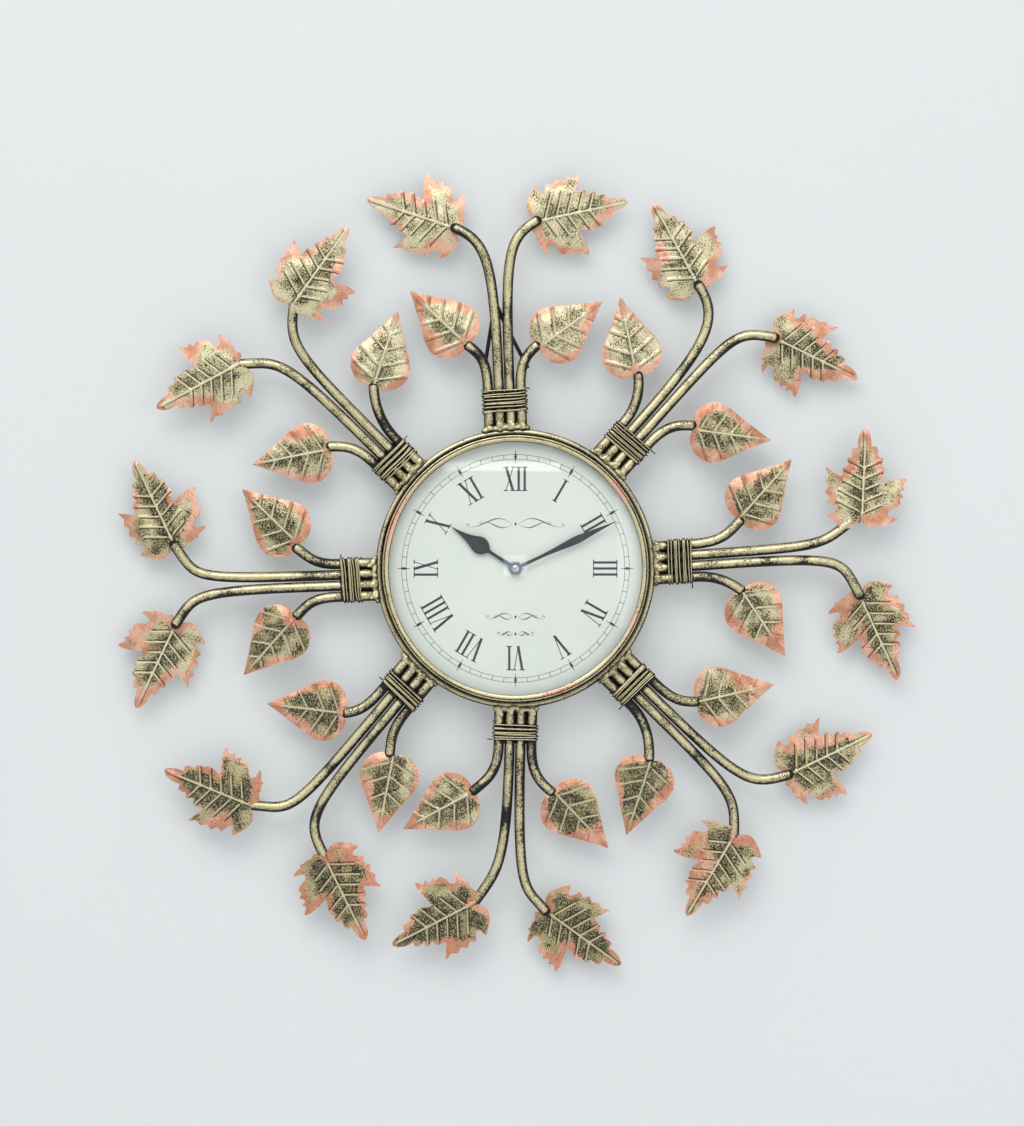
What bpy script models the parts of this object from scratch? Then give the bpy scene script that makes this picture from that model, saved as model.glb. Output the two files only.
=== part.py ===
"""Wall clock in a frame of eight leaf sprays, with its quartz movement.

The dial axis is the Y axis and the wall is the plane y = 0.  The front faces -Y and +Z is up.
Every measure below is in millimetres.  A depth is the distance forward of the wall, so y = -depth.
"""
import math

import bmesh
import bpy
from mathutils import Vector
from mathutils.geometry import tessellate_polygon

MM = 0.001
SAME_POINT = 1e-4

# ---- round parts ---------------------------------------------------------------------------
RING_SIDES = 48
SHAFT_SIDES = 24
ARBOR_SIDES = 8

# ---- frame hoop and rods -------------------------------------------------------------------
HOOP_RADIUS = 104.6
HOOP_WIRE = 2.3
HOOP_DEPTH = 18.0
ROD_RADIUS = 3.95
ROD_SIDES = 7
HOOP_SIDES = 8
ROD_PITCH = 8.35
ROD_DEPTH = 18.0
ROD_GAP_AT_HOOP = 0.3
BEND_STEPS = {"maple": 7, "heart": 5}
ROD_TIP_STEP = 1.6
ROD_TIP_SHARE = 0.62
WRAP_HALF_LENGTH = 10.0
ROD_PAST_ROOT = 1.5

# ---- leaves --------------------------------------------------------------------------------
LEAF_THICKNESS = 1.0
MAPLE_UNDER_DEPTH = 14.0
MAPLE_OVER_DEPTH = 21.3
HEART_DEPTH = 17.4
HEART_CROWN = 4.0
HEART_RIB_SPACING = 1.5

# ---- hanging wire --------------------------------------------------------------------------
HANGER_WIRE = 1.5
HANGER_DEPTH = 11.6
HANGER_SIDES = 8
HANGER_PATH = [(-24.4, 151.0), (-22.8, 159.7), (-19.6, 180.0), (-17.6, 193.0), (-16.4, 198.4),
               (-14.4, 200.8), (-12.4, 198.0), (-10.2, 192.0), (-4.1, 180.0), (5.3, 161.7), (9.6, 153.6)]

# ---- case ----------------------------------------------------------------------------------
PLATE_RADIUS = 99.9
PLATE_FRONT = 1.2
WINDOW_X = 27.6
WINDOW_Z = (-27.6, -11.4)
WINDOW_CORNER = 1.5
DRUM_OUTER = 100.0
DRUM_INNER = 98.8
DRUM_REAR = 1.5
DRUM_FRONT = 29.3
DRUM_LEDGE_INNER = 93.0
DRUM_LEDGE = (22.5, 23.7)
DIAL_RADIUS = 98.4
DIAL_REAR = 24.0
DIAL_FRONT = 24.6
BEZEL_INNER = 96.6
BEZEL_SKIRT_INNER = 100.3
BEZEL_OUTER = 101.9
BEZEL_REAR = 22.0
BEZEL_LIP_REAR = 32.0
BEZEL_FRONT = 33.7
BEZEL_LIP_EDGE = 0.6
GLASS_RADIUS = 99.8
GLASS_THICKNESS = 1.5
GLASS_EDGE_DEPTH = 29.6
GLASS_RISE = 8.9
GLASS_RINGS = 4

# ---- hands ---------------------------------------------------------------------------------
MINUTE_ANGLE = 64.9
HOUR_ANGLE = 302.9
HOUR_HAND = (27.0, 27.8)
MINUTE_HAND = (29.0, 29.8)
HAND_NUT = (30.0, 32.4)
HAND_NUT_RADIUS = 2.75
HAND_NUT_HOLE_END = 31.7
HAND_NUT_CROWN = (0.75, 0.8)
# Half outlines of the hands: (reach from the axis, half width), from the tail to the tip.
HOUR_OUTLINE = [(-4.6, 0), (-3.9, 2.6), (-1.5, 4.6), (1.8, 4.6), (4.2, 2.9), (7.5, 1.8), (14, 1.3),
                (24.4, 1.3), (26.0, 3.3), (28.6, 5.4), (31.8, 6.6), (35.4, 6.2), (39.0, 4.6), (43.0, 2.9),
                (50.0, 1.4), (58.8, 0)]
MINUTE_OUTLINE = [(-4.2, 0), (-3.5, 2.3), (-1.3, 4.1), (1.6, 4.1), (3.8, 2.6), (8.0, 1.5), (18.0, 1.2),
                  (36.0, 1.95), (50.0, 3.0), (62.0, 2.1), (72.0, 1.2), (85.4, 0)]

# ---- movement ------------------------------------------------------------------------------
CASE_HALF = 28.0
CASE_CORNER = 3.0
CASE_REAR = 4.5
CASE_FRONT = 23.7
CASE_FLOOR = 22.2
CHAMBER_X = 26.5
CHAMBER_Z = (-9.5, 26.5)
CHAMBER_CORNER = 1.5
TROUGH_X = 27.0
TROUGH_Z = (-27.0, -11.4)
TROUGH_FLOOR = 20.7
TROUGH_CORNER = 0.8
NECK_RADIUS = 4.0
NECK_FRONT = 26.6
NECK_BORE = 3.05
NECK_NUT = (24.8, 26.4)
NECK_NUT_RADIUS = 6.0
NECK_NUT_BORE = 4.15
DIAL_HOLE = 4.2
COVER = (3.0, 4.3)
COVER_X = 27.2
COVER_Z = (-10.9, 27.2)
COVER_CORNER = 2.4

# ---- axes of the wheels, as (x, z) ---------------------------------------------------------
SHAFT_PLAY = 0.1
TRAIN_MODULE = 0.18
SLOW_MODULE = 0.22
MINUTE_MODULE = 0.4
HOUR_MODULE = 0.384
TOOTH_TIP = 0.6
TOOTH_ROOT = 1.0
ARBOR_RADIUS = 0.45
MINUTE_ARBOR_RADIUS = 1.4
HOUR_TUBE_RADIUS = 2.9
KNOB_SHAFT_RADIUS = 1.2
KNOB_RADIUS = 6.5
KNOB = (1.0, 2.7)
KNOB_HOLE = 8.6
KNOB_RIDGES = 30

# ---- cell and contacts ---------------------------------------------------------------------
CELL_Z = -19.3
CELL_DEPTH = 12.3
CELL_RADIUS = 7.1
CELL_BODY = (-24.8, 24.2)
CELL_NUB_END = 25.6
CELL_NUB_RADIUS = 2.7
CELL_SHOULDER = (0.5, 0.6)
STRIP_X = (26.0, 26.4)
STRIP_Z = (-24.5, -14.0)
STRIP_DEPTH = (6.5, 18.5)
SPRING_X = -26.5
SPRING_LENGTH = 1.35
SPRING_RADII = (4.6, 2.4)
SPRING_WIRE = 0.16
SPRING_TURNS = 3
SPRING_SIDES = 4

# ---- drive circuit and motor ---------------------------------------------------------------
BOARD_X = (18.4, 25.6)
BOARD_Z = (-8.4, 14.0)
BOARD_DEPTH = (7.0, 8.0)
BOARD_HOLE = ((22.0, 11.0), 1.2)
STATOR_X = (-12.4, 17.6)
STATOR_Z = (15.7, 22.9)
STATOR_DEPTH = (11.4, 12.6)
STATOR_GAP = 0.5
COIL_Z = 19.3
COIL_DEPTH = 17.2
COIL_X = (0.6, 15.4)
COIL_CHEEK = 1.0
COIL_RADIUS = 3.2
COIL_CHEEK_RADIUS = 4.4

CENTRE = (0.0, 0.0)

# Outline of the stamped maple leaf: (along the midrib, to its left), from the tip round.
MAPLE = [(71.3, 0.0), (67.0, -3.4), (57.0, -5.0), (56.6, -9.6), (49.6, -10.2), (48.6, -14.0),
         (41.2, -15.6), (35.4, -14.0), (29.8, -13.4), (32.4, -21.0), (34.0, -32.8), (28.6, -29.8),
         (26.0, -32.0), (23.8, -28.8), (20.0, -31.4), (18.2, -28.2), (14.4, -29.0), (10.2, -21.5),
         (6.4, -20.4), (3.6, -27.4), (0.2, -21.0), (-2.8, -18.4), (-3.0, -11.0), (-5.2, -6.4),
         (-1.0, -1.4), (0.6, 2.0), (-3.0, 4.8), (-5.6, 10.0), (-4.4, 16.6), (-0.2, 22.8),
         (4.0, 26.4), (7.0, 20.8), (12.6, 26.8), (17.2, 24.8), (21.2, 28.6), (25.6, 26.0),
         (29.8, 28.8), (33.6, 26.8), (40.4, 29.2), (33.8, 18.0), (39.8, 16.4), (42.4, 11.8),
         (47.6, 13.4), (49.4, 9.4), (55.4, 9.6), (57.0, 5.4), (67.0, 3.6)]

# Half outline of the heart leaf: (along the midrib, out from it), from the notch to the tip.
HEART = [(0.6, 0.0), (-0.8, 6.0), (2.5, 16.0), (10.0, 22.0), (16.0, 23.1), (25.0, 20.5),
         (35.0, 14.8), (45.0, 8.9), (55.0, 3.3), (61.0, 0.0)]

# The frame is bent by hand, so each spray has its own rows:
# name, wrap centre (x, z), direction of the rods.  Then its four stems, left to right across the
# rods seen from the dial: kind, root of the leaf (x, z), direction of the rod's end, leaf heading,
# how far the leaf sits to the left of the rod's end, handle shares of the bend at the wrap and root.
SPRAYS = [
    ("top", (-8.2, 127.8), 92.3, [
        ("heart", (-36.6, 170.7), 146, 136.7, 0.0, 0.55, 0.35),
        ("maple", (-46.2, 260.6), 158, 161.4, 0.0, 0.74, 0.22),
        ("maple", (16.3, 266.1), 32, 12.0, 0.0, 0.82, 0.20),
        ("heart", (16.3, 170.7), 42, 36.3, -2.5, 0.55, 0.30)]),
    ("upper_right", (85.3, 95.6), 48.0, [
        ("heart", (93.8, 148.1), 98, 101.4, 1.5, 0.40, 0.30),
        ("maple", (140.1, 216.8), 124, 118.6, 0.0, 0.70, 0.26),
        ("maple", (198.4, 176.7), -10, -26.0, 0.0, 0.85, 0.25),
        ("heart", (135.6, 109.4), -3, -7.5, -3.2, 0.55, 0.30)]),
    ("right", (125.8, 5.4), 4.0, [
        ("heart", (172.1, 36.7), 45, 48.2, 2.0, 0.60, 0.30),
        ("maple", (256.5, 36.2), 40, 87.4, -8.2, 0.80, 0.25),
        ("maple", (263.5, -20.3), -60, -65.5, 0.0, 0.95, 0.25),
        ("heart", (172.8, -16.8), -36, -56.4, 0.0, 0.45, 0.30)]),
    ("lower_right", (89.9, -88.8), -44.5, [
        ("heart", (138.8, -101.9), 2, 12.6, 0.0, 0.55, 0.32),
        ("maple", (209.2, -157.8), 16, 25.6, 0.0, 0.82, 0.25),
        ("maple", (167.2, -204.0), -92, -120.7, 0.0, 0.80, 0.25),
        ("heart", (102.2, -145.7), -93, -108.0, 1.5, 0.40, 0.30)]),
    ("bottom", (-0.1, -124.6), -91.5, [
        ("heart", (27.9, -171.1), -38, -46.4, 1.5, 0.55, 0.30),
        ("maple", (22.9, -262.2), -52, -36.0, 0.0, 0.93, 0.20),
        ("maple", (-31.1, -255.1), -126, 207.6, 0.0, 0.75, 0.25),
        ("heart", (-32.5, -170.4), 220, 208.5, 0.0, 0.55, 0.32)]),
    ("lower_left", (-86.2, -93.2), 230.0, [
        ("heart", (-96.3, -142.0), 264, 259.1, 3.0, 0.55, 0.30),
        ("maple", (-146.3, -220.2), 297, 296.3, 0.0, 0.85, 0.25),
        ("maple", (-202.6, -181.1), 176, 157.8, 0.0, 0.92, 0.25),
        ("heart", (-130.0, -110.7), 190, 173.1, 0.0, 0.55, 0.32)]),
    ("left", (-125.1, -8.8), 182.0, [
        ("heart", (-167.4, -36.3), 226, 228.1, 0.0, 0.60, 0.32),
        ("maple", (-260.1, -42.5), 236, 244.4, 0.0, 0.90, 0.22),
        ("maple", (-261.5, 17.9), 128, 115.2, 0.0, 0.95, 0.25),
        ("heart", (-168.1, 15.8), 146, 135.8, -3.5, 0.55, 0.30)]),
    ("upper_left", (-92.8, 82.6), 135.0, [
        ("heart", (-142.3, 93.3), 182, 191.1, 2.0, 0.50, 0.32),
        ("maple", (-211.6, 156.4), 182, 208.2, 0.0, 0.85, 0.25),
        ("maple", (-169.4, 203.0), 82, 54.5, 0.0, 0.80, 0.25),
        ("heart", (-108.6, 139.3), 92, 72.1, 0.0, 0.40, 0.30)])]

# Maple leaves welded to the front of the rod; every other one is welded behind it.
MAPLE_OVER = {"right_maple_2", "upper_left_maple_2", "upper_left_maple_3", "lower_left_maple_2",
              "lower_left_maple_3", "lower_right_maple_3", "bottom_maple_3"}

SLOT_COLOURS = {
    "rod_gilt": ((0.55, 0.47, 0.27), 1.0, 0.42),
    "leaf_gilt": ((0.62, 0.42, 0.27), 1.0, 0.45),
    "iron_wire": ((0.05, 0.05, 0.05), 1.0, 0.5),
    "case_black": ((0.03, 0.03, 0.03), 0.6, 0.5),
    "bezel_gilt": ((0.60, 0.50, 0.27), 1.0, 0.35),
    "glass": ((0.85, 0.92, 0.90), 0.0, 0.03),
    "dial_card": ((0.80, 0.85, 0.78), 0.0, 0.6),
    "hand_steel": ((0.05, 0.07, 0.09), 0.8, 0.35),
    "brass": ((0.70, 0.55, 0.25), 1.0, 0.3),
    "nickel": ((0.75, 0.73, 0.68), 1.0, 0.25),
    "movement_black": ((0.03, 0.03, 0.035), 0.0, 0.5),
    "white_nylon": ((0.85, 0.85, 0.82), 0.0, 0.45),
    "cell_jacket": ((0.12, 0.13, 0.15), 0.3, 0.35),
    "board_green": ((0.05, 0.22, 0.10), 0.0, 0.4),
    "coil_copper": ((0.72, 0.33, 0.16), 1.0, 0.35),
    "magnet": ((0.20, 0.20, 0.21), 0.9, 0.4),
}


# ---- building bodies -----------------------------------------------------------------------

def clear_scene():
    for obj in list(bpy.data.objects):
        bpy.data.objects.remove(obj, do_unlink=True)


def material(name, slot):
    colour, metallic, roughness = SLOT_COLOURS[slot]
    mat = bpy.data.materials.new(name)
    mat.use_nodes = True
    shader = mat.node_tree.nodes["Principled BSDF"]
    shader.inputs["Base Color"].default_value = (*colour, 1.0)
    shader.inputs["Metallic"].default_value = metallic
    shader.inputs["Roughness"].default_value = roughness
    if slot == "glass":
        shader.inputs["Transmission Weight"].default_value = 1.0
    return mat


def finish(name, slot, bm, axis=(0.0, 0.0), smooth_angle=35.0):
    """Turn a closed bmesh, in millimetres, into a named object in metres with its origin on an axis."""
    pivot = Vector((axis[0], 0, axis[1]))
    bmesh.ops.translate(bm, vec=-pivot, verts=bm.verts)
    bmesh.ops.remove_doubles(bm, verts=bm.verts, dist=SAME_POINT)
    bmesh.ops.recalc_face_normals(bm, faces=bm.faces)
    bmesh.ops.scale(bm, vec=(MM, MM, MM), verts=bm.verts)
    mesh = bpy.data.meshes.new(name)
    bm.to_mesh(mesh)
    bm.free()
    mesh.shade_smooth()
    mesh.set_sharp_from_angle(angle=math.radians(smooth_angle))
    obj = bpy.data.objects.new(name, mesh)
    obj.location = pivot * MM
    bpy.context.collection.objects.link(obj)
    mesh.materials.append(material(name, slot))
    return obj


def at_depth(point, depth):
    return Vector((point[0], -depth, point[1]))


def add_face(bm, outer, holes, depth):
    """A flat face in the plane at a depth, bounded by an outline and by holes."""
    loops = [[at_depth(point, depth) for point in loop] for loop in [outer, *holes]]
    verts = [bm.verts.new(point) for loop in loops for point in loop]
    for corners in tessellate_polygon(loops):
        bm.faces.new([verts[index] for index in corners])


def add_wall(bm, outline, rear, front):
    """The side of a prism between two depths."""
    low = [bm.verts.new(at_depth(point, rear)) for point in outline]
    high = [bm.verts.new(at_depth(point, front)) for point in outline]
    for index in range(len(outline)):
        after = (index + 1) % len(outline)
        bm.faces.new([low[index], low[after], high[after], high[index]])


def area(outline):
    total = 0.0
    for (x0, z0), (x1, z1) in zip(outline, outline[1:] + outline[:1]):
        total += x0 * z1 - x1 * z0
    return abs(total) / 2


def plate(name, slot, outline, holes, rear, front):
    """A flat plate with holes through it."""
    bm = bmesh.new()
    add_face(bm, outline, holes, rear)
    add_face(bm, outline, holes, front)
    for loop in [outline, *holes]:
        add_wall(bm, loop, rear, front)
    return finish(name, slot, bm)


def stack(name, slot, sections, bore=None, axis=(0.0, 0.0)):
    """Prisms of different outline end to end on an axis, as (outline, rear depth, front depth)."""
    bm = bmesh.new()
    inside = [bore] if bore else []
    for outline, rear, front in sections:
        add_wall(bm, outline, rear, front)
    for (lower, _, depth), (upper, _, _) in zip(sections, sections[1:]):
        small, large = sorted((lower, upper), key=area)
        add_face(bm, large, [small], depth)
    add_face(bm, sections[0][0], inside, sections[0][1])
    add_face(bm, sections[-1][0], inside, sections[-1][2])
    if bore:
        add_wall(bm, bore, sections[0][1], sections[-1][2])
    return finish(name, slot, bm, axis)


def circle(centre, radius, sides):
    return [(centre[0] + radius * math.cos(2 * math.pi * index / sides),
             centre[1] + radius * math.sin(2 * math.pi * index / sides)) for index in range(sides)]


def rounded_box(x_range, z_range, corner, steps=3):
    points = []
    left, right = x_range[0] + corner, x_range[1] - corner
    low, high = z_range[0] + corner, z_range[1] - corner
    corners = [(right, high, 0), (left, high, 90), (left, low, 180), (right, low, 270)]
    for x, z, start in corners:
        for step in range(steps + 1):
            angle = math.radians(start + 90 * step / steps)
            points.append((x + corner * math.cos(angle), z + corner * math.sin(angle)))
    return points


def gear(centre, teeth, module, facing, gap_faces=False):
    """A pointed tooth form.  A tooth, or a gap, lies on the line in the direction facing."""
    pitch_radius = teeth * module / 2
    points = []
    for index in range(2 * teeth):
        is_gap = index % 2 == 1
        radius = pitch_radius + (-TOOTH_ROOT if is_gap else TOOTH_TIP) * module
        angle = facing + math.pi * (index + (1 if gap_faces else 0)) / teeth
        points.append((centre[0] + radius * math.cos(angle), centre[1] + radius * math.sin(angle)))
    return points


def revolve(name, slot, profile, sides, axis_x=None):
    """A closed profile of (radius, distance) turned about the dial axis, or about a line along X."""
    bm = bmesh.new()
    rings = []
    for radius, distance in profile:
        ring = []
        count = 1 if radius == 0 else sides
        for index in range(count):
            angle = 2 * math.pi * index / sides
            across, up = radius * math.cos(angle), radius * math.sin(angle)
            if axis_x:
                place = Vector((distance, -axis_x[1] + across, axis_x[0] + up))
            else:
                place = Vector((across, -distance, up))
            ring.append(bm.verts.new(place))
        rings.append(ring)
    for ring, after in zip(rings, rings[1:] + rings[:1]):
        if len(ring) == 1 and len(after) == 1:
            continue
        for index in range(sides):
            step = (index + 1) % sides
            corners = [ring[index % len(ring)], ring[step % len(ring)],
                       after[step % len(after)], after[index % len(after)]]
            unique = list(dict.fromkeys(corners))
            bm.faces.new(unique)
    return finish(name, slot, bm)


def sweep(bm, path, radii, sides):
    """A round bar along a path, closed by flat ends."""
    rings = []
    for index, point in enumerate(path):
        before = path[max(index - 1, 0)]
        after = path[min(index + 1, len(path) - 1)]
        along = (after - before).normalized()
        side = along.cross(Vector((0, 1, 0)))
        if side.length < 1e-3:
            side = along.cross(Vector((1, 0, 0)))
        side.normalize()
        up = side.cross(along)
        ring = []
        for step in range(sides):
            angle = 2 * math.pi * (step + 0.5) / sides
            offset = side * math.cos(angle) + up * math.sin(angle)
            ring.append(bm.verts.new(point + radii[index] * offset))
        rings.append(ring)
    for ring, after in zip(rings, rings[1:]):
        for step in range(sides):
            following = (step + 1) % sides
            bm.faces.new([ring[step], ring[following], after[following], after[step]])
    bm.faces.new(rings[0])
    bm.faces.new(rings[-1])


# ---- leaf sprays ---------------------------------------------------------------------------

def unit(degrees):
    return Vector((math.cos(math.radians(degrees)), math.sin(math.radians(degrees))))


def rod_start(centre, heading, offset):
    """Where a rod at a sideways offset in its bundle meets the hoop."""
    along = unit(heading)
    left = Vector((-along.y, along.x))
    reach = HOOP_RADIUS + HOOP_WIRE + ROD_GAP_AT_HOOP
    best = None
    for edge in (offset - ROD_RADIUS, offset, offset + ROD_RADIUS):
        base = Vector(centre) + left * edge
        across = base.dot(along)
        distance = across - math.sqrt(across * across - base.length_squared + reach * reach)
        best = distance if best is None else min(best, distance)
    return Vector(centre) + left * offset - along * best


def rod_path(centre, heading, offset, root, end_heading, share_out, share_in, steps):
    """Straight from the hoop through the wrap, then one smooth bend to the leaf's root."""
    along = unit(heading)
    left = Vector((-along.y, along.x))
    leave = Vector(centre) + left * offset + along * WRAP_HALF_LENGTH
    root = Vector(root)
    chord = (root - leave).length
    points = [leave, leave + along * chord * share_out, root - unit(end_heading) * chord * share_in, root]
    path = [rod_start(centre, heading, offset)]
    for step in range(steps + 1):
        t = step / steps
        weights = ((1 - t) ** 3, 3 * t * (1 - t) ** 2, 3 * t * t * (1 - t), t ** 3)
        path.append(sum((point * weight for point, weight in zip(points, weights)), Vector((0, 0))))
    path.append(root + unit(end_heading) * ROD_PAST_ROOT)
    return path


def rod_body(name, path):
    bm = bmesh.new()
    points = [at_depth(point, ROD_DEPTH) for point in path]
    tip = points[-1] + (points[-1] - points[-2]).normalized() * ROD_TIP_STEP
    radii = [ROD_RADIUS] * len(points) + [ROD_RADIUS * ROD_TIP_SHARE]
    sweep(bm, points + [tip], radii, ROD_SIDES)
    return finish(name, "rod_gilt", bm)


def leaf_place(root, heading, point):
    along = unit(heading)
    left = Vector((-along.y, along.x))
    return Vector(root) + along * point[0] + left * point[1]


def maple_leaf(name, root, heading, depth):
    outline = [tuple(leaf_place(root, heading, point)) for point in MAPLE]
    return plate(name, "leaf_gilt", outline, [], depth, depth + LEAF_THICKNESS)


def heart_crown(along):
    length = HEART[-1][0]
    share = min(max(along / length, 0.0), 1.0)
    return HEART_CROWN * math.sin(math.pi * share ** 0.6)


def heart_leaf(name, root, heading, depth):
    """A leaf folded along its midrib, so that each half slopes back to its edge."""
    bm = bmesh.new()
    rims = []
    ribs = []
    notch, tip = HEART[0][0], HEART[-1][0]
    rib_steps = len(HEART) - 1
    rib_along = [notch + (tip - notch) * (step / rib_steps) ** HEART_RIB_SPACING
                 for step in range(rib_steps + 1)]
    for lift in (0.0, LEAF_THICKNESS):
        for side in (1, -1):
            rim = [at_depth(leaf_place(root, heading, (along, out * side)), depth + lift)
                   for along, out in HEART[1:-1]]
            rims.append([bm.verts.new(point) for point in rim])
        rib = [at_depth(leaf_place(root, heading, (along, 0)), depth + lift + heart_crown(along))
               for along in rib_along]
        ribs.append([bm.verts.new(point) for point in rib])
    for level in (0, 1):
        for side in (0, 1):
            rim = rims[2 * level + side]
            rib = ribs[level]
            bm.faces.new([rib[0], rib[1], rim[0]])
            bm.faces.new([rib[-1], rib[-2], rim[-1]])
            for index in range(len(rim) - 1):
                bm.faces.new([rib[index + 1], rib[index + 2], rim[index + 1], rim[index]])
    for side in (0, 1):
        low, high = rims[side], rims[2 + side]
        chain_low = [ribs[0][0], *low, ribs[0][-1]]
        chain_high = [ribs[1][0], *high, ribs[1][-1]]
        for index in range(len(chain_low) - 1):
            bm.faces.new([chain_low[index], chain_low[index + 1], chain_high[index + 1], chain_high[index]])
    bmesh.ops.triangulate(bm, faces=bm.faces)
    return finish(name, "leaf_gilt", bm)


def build_sprays():
    for spray, centre, heading, stems in SPRAYS:
        for index, (kind, root, end_heading, leaf_heading, slip, share_out, share_in) in enumerate(stems):
            name = f"{spray}_{kind}_{index + 1}"
            offset = (1.5 - index) * ROD_PITCH
            path = rod_path(centre, heading, offset, root, end_heading, share_out, share_in,
                            BEND_STEPS[kind])
            rod = rod_body(name, path)
            root = leaf_place(root, leaf_heading, (0.0, slip))
            if kind == "maple":
                depth = MAPLE_OVER_DEPTH if name in MAPLE_OVER else MAPLE_UNDER_DEPTH
                leaf = maple_leaf(name + "_leaf", root, leaf_heading, depth)
            else:
                leaf = heart_leaf(name + "_leaf", root, leaf_heading, HEART_DEPTH)
            leaf.hide_render = True
            leaf.display_type = "WIRE"
            weld = rod.modifiers.new("weld", "BOOLEAN")
            weld.operation = "UNION"
            weld.solver = "EXACT"
            weld.object = leaf


def build_hoop_and_hanger():
    profile = []
    for index in range(HOOP_SIDES):
        angle = 2 * math.pi * (index + 0.5) / HOOP_SIDES
        profile.append((HOOP_RADIUS + HOOP_WIRE * math.cos(angle), HOOP_DEPTH + HOOP_WIRE * math.sin(angle)))
    revolve("frame_hoop", "rod_gilt", profile, RING_SIDES)
    bm = bmesh.new()
    path = [at_depth(point, HANGER_DEPTH) for point in HANGER_PATH]
    sweep(bm, path, [HANGER_WIRE] * len(path), HANGER_SIDES)
    finish("hanging_loop", "iron_wire", bm)


# ---- case ----------------------------------------------------------------------------------

def build_case():
    window = rounded_box((-WINDOW_X, WINDOW_X), WINDOW_Z, WINDOW_CORNER, 2)
    knob_hole = circle(KNOB_AXIS, KNOB_HOLE, SHAFT_SIDES)
    plate("back_plate", "case_black", circle(CENTRE, PLATE_RADIUS, RING_SIDES), [window, knob_hole],
          0.0, PLATE_FRONT)
    revolve("case_drum", "case_black",
            [(DRUM_OUTER, DRUM_REAR), (DRUM_OUTER, DRUM_FRONT), (DRUM_INNER, DRUM_FRONT),
             (DRUM_INNER, DRUM_LEDGE[1]), (DRUM_LEDGE_INNER, DRUM_LEDGE[1]),
             (DRUM_LEDGE_INNER, DRUM_LEDGE[0]), (DRUM_INNER, DRUM_LEDGE[0]), (DRUM_INNER, DRUM_REAR)],
            RING_SIDES)
    round_off = (BEZEL_OUTER - BEZEL_INNER) / 4
    revolve("bezel", "bezel_gilt",
            [(BEZEL_OUTER, BEZEL_REAR), (BEZEL_OUTER, BEZEL_LIP_REAR),
             (BEZEL_OUTER - round_off, BEZEL_FRONT),
             (BEZEL_INNER + round_off, BEZEL_FRONT), (BEZEL_INNER, BEZEL_LIP_REAR + BEZEL_LIP_EDGE),
             (BEZEL_INNER, BEZEL_LIP_REAR), (BEZEL_SKIRT_INNER, BEZEL_LIP_REAR),
             (BEZEL_SKIRT_INNER, BEZEL_REAR)], RING_SIDES)
    outer = []
    for ring in range(GLASS_RINGS + 1):
        share = ring / GLASS_RINGS
        outer.append((GLASS_RADIUS * share, GLASS_RISE * (1 - share * share)))
    front = [(radius, GLASS_EDGE_DEPTH + GLASS_THICKNESS + rise) for radius, rise in outer]
    back = [(radius, GLASS_EDGE_DEPTH + rise) for radius, rise in reversed(outer)]
    revolve("glass", "glass", front + back, RING_SIDES)
    plate("dial", "dial_card", circle(CENTRE, DIAL_RADIUS, RING_SIDES),
          [circle(CENTRE, DIAL_HOLE, SHAFT_SIDES)], DIAL_REAR, DIAL_FRONT)


# ---- hands ---------------------------------------------------------------------------------

def hand(name, half_outline, angle, bore, rear, front):
    """A flat hand, symmetrical about its length, pointing clockwise from twelve."""
    along = unit(90 - angle)
    left = Vector((-along.y, along.x))
    right_side = [(reach, -half) for reach, half in half_outline]
    left_side = [(reach, half) for reach, half in reversed(half_outline) if half > 0]
    outline = [tuple(along * reach + left * half) for reach, half in right_side + left_side]
    plate(name, "hand_steel", outline, [circle(CENTRE, bore, SHAFT_SIDES)], rear, front)


def build_hands():
    hand("hour_hand", HOUR_OUTLINE, HOUR_ANGLE, HOUR_TUBE_RADIUS + SHAFT_PLAY, *HOUR_HAND)
    hand("minute_hand", MINUTE_OUTLINE, MINUTE_ANGLE, MINUTE_ARBOR_RADIUS + SHAFT_PLAY, *MINUTE_HAND)
    crown_share, crown_height = HAND_NUT_CROWN
    revolve("hand_nut", "nickel",
            [(MINUTE_ARBOR_RADIUS + SHAFT_PLAY, HAND_NUT[0]), (HAND_NUT_RADIUS, HAND_NUT[0]),
             (HAND_NUT_RADIUS, HAND_NUT[1] - crown_height), (HAND_NUT_RADIUS * crown_share, HAND_NUT[1]),
             (0, HAND_NUT[1]), (0, HAND_NUT_HOLE_END),
             (MINUTE_ARBOR_RADIUS + SHAFT_PLAY, HAND_NUT_HOLE_END)], SHAFT_SIDES)


# ---- movement ------------------------------------------------------------------------------

def mesh_distance(first_teeth, second_teeth, module):
    return (first_teeth + second_teeth) * module / 2


def step_from(start, distance, degrees):
    move = unit(degrees) * distance
    return (start[0] + move.x, start[1] + move.y)


MINUTE_PINION_TEETH = 12
MOTION_TEETH = 36
MOTION_PINION_TEETH = 10
HOUR_TEETH = 40
CENTRE_TEETH = 64
THIRD_TEETH = 60
SECONDS_TEETH = 40
INTERMEDIATE_TEETH = 48
PINION_TEETH = 8

TO_MOTION = 60
TO_KNOB = 0
TO_THIRD = 150
TO_SECONDS = 100
TO_INTERMEDIATE = 60
TO_ROTOR = 110

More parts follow.
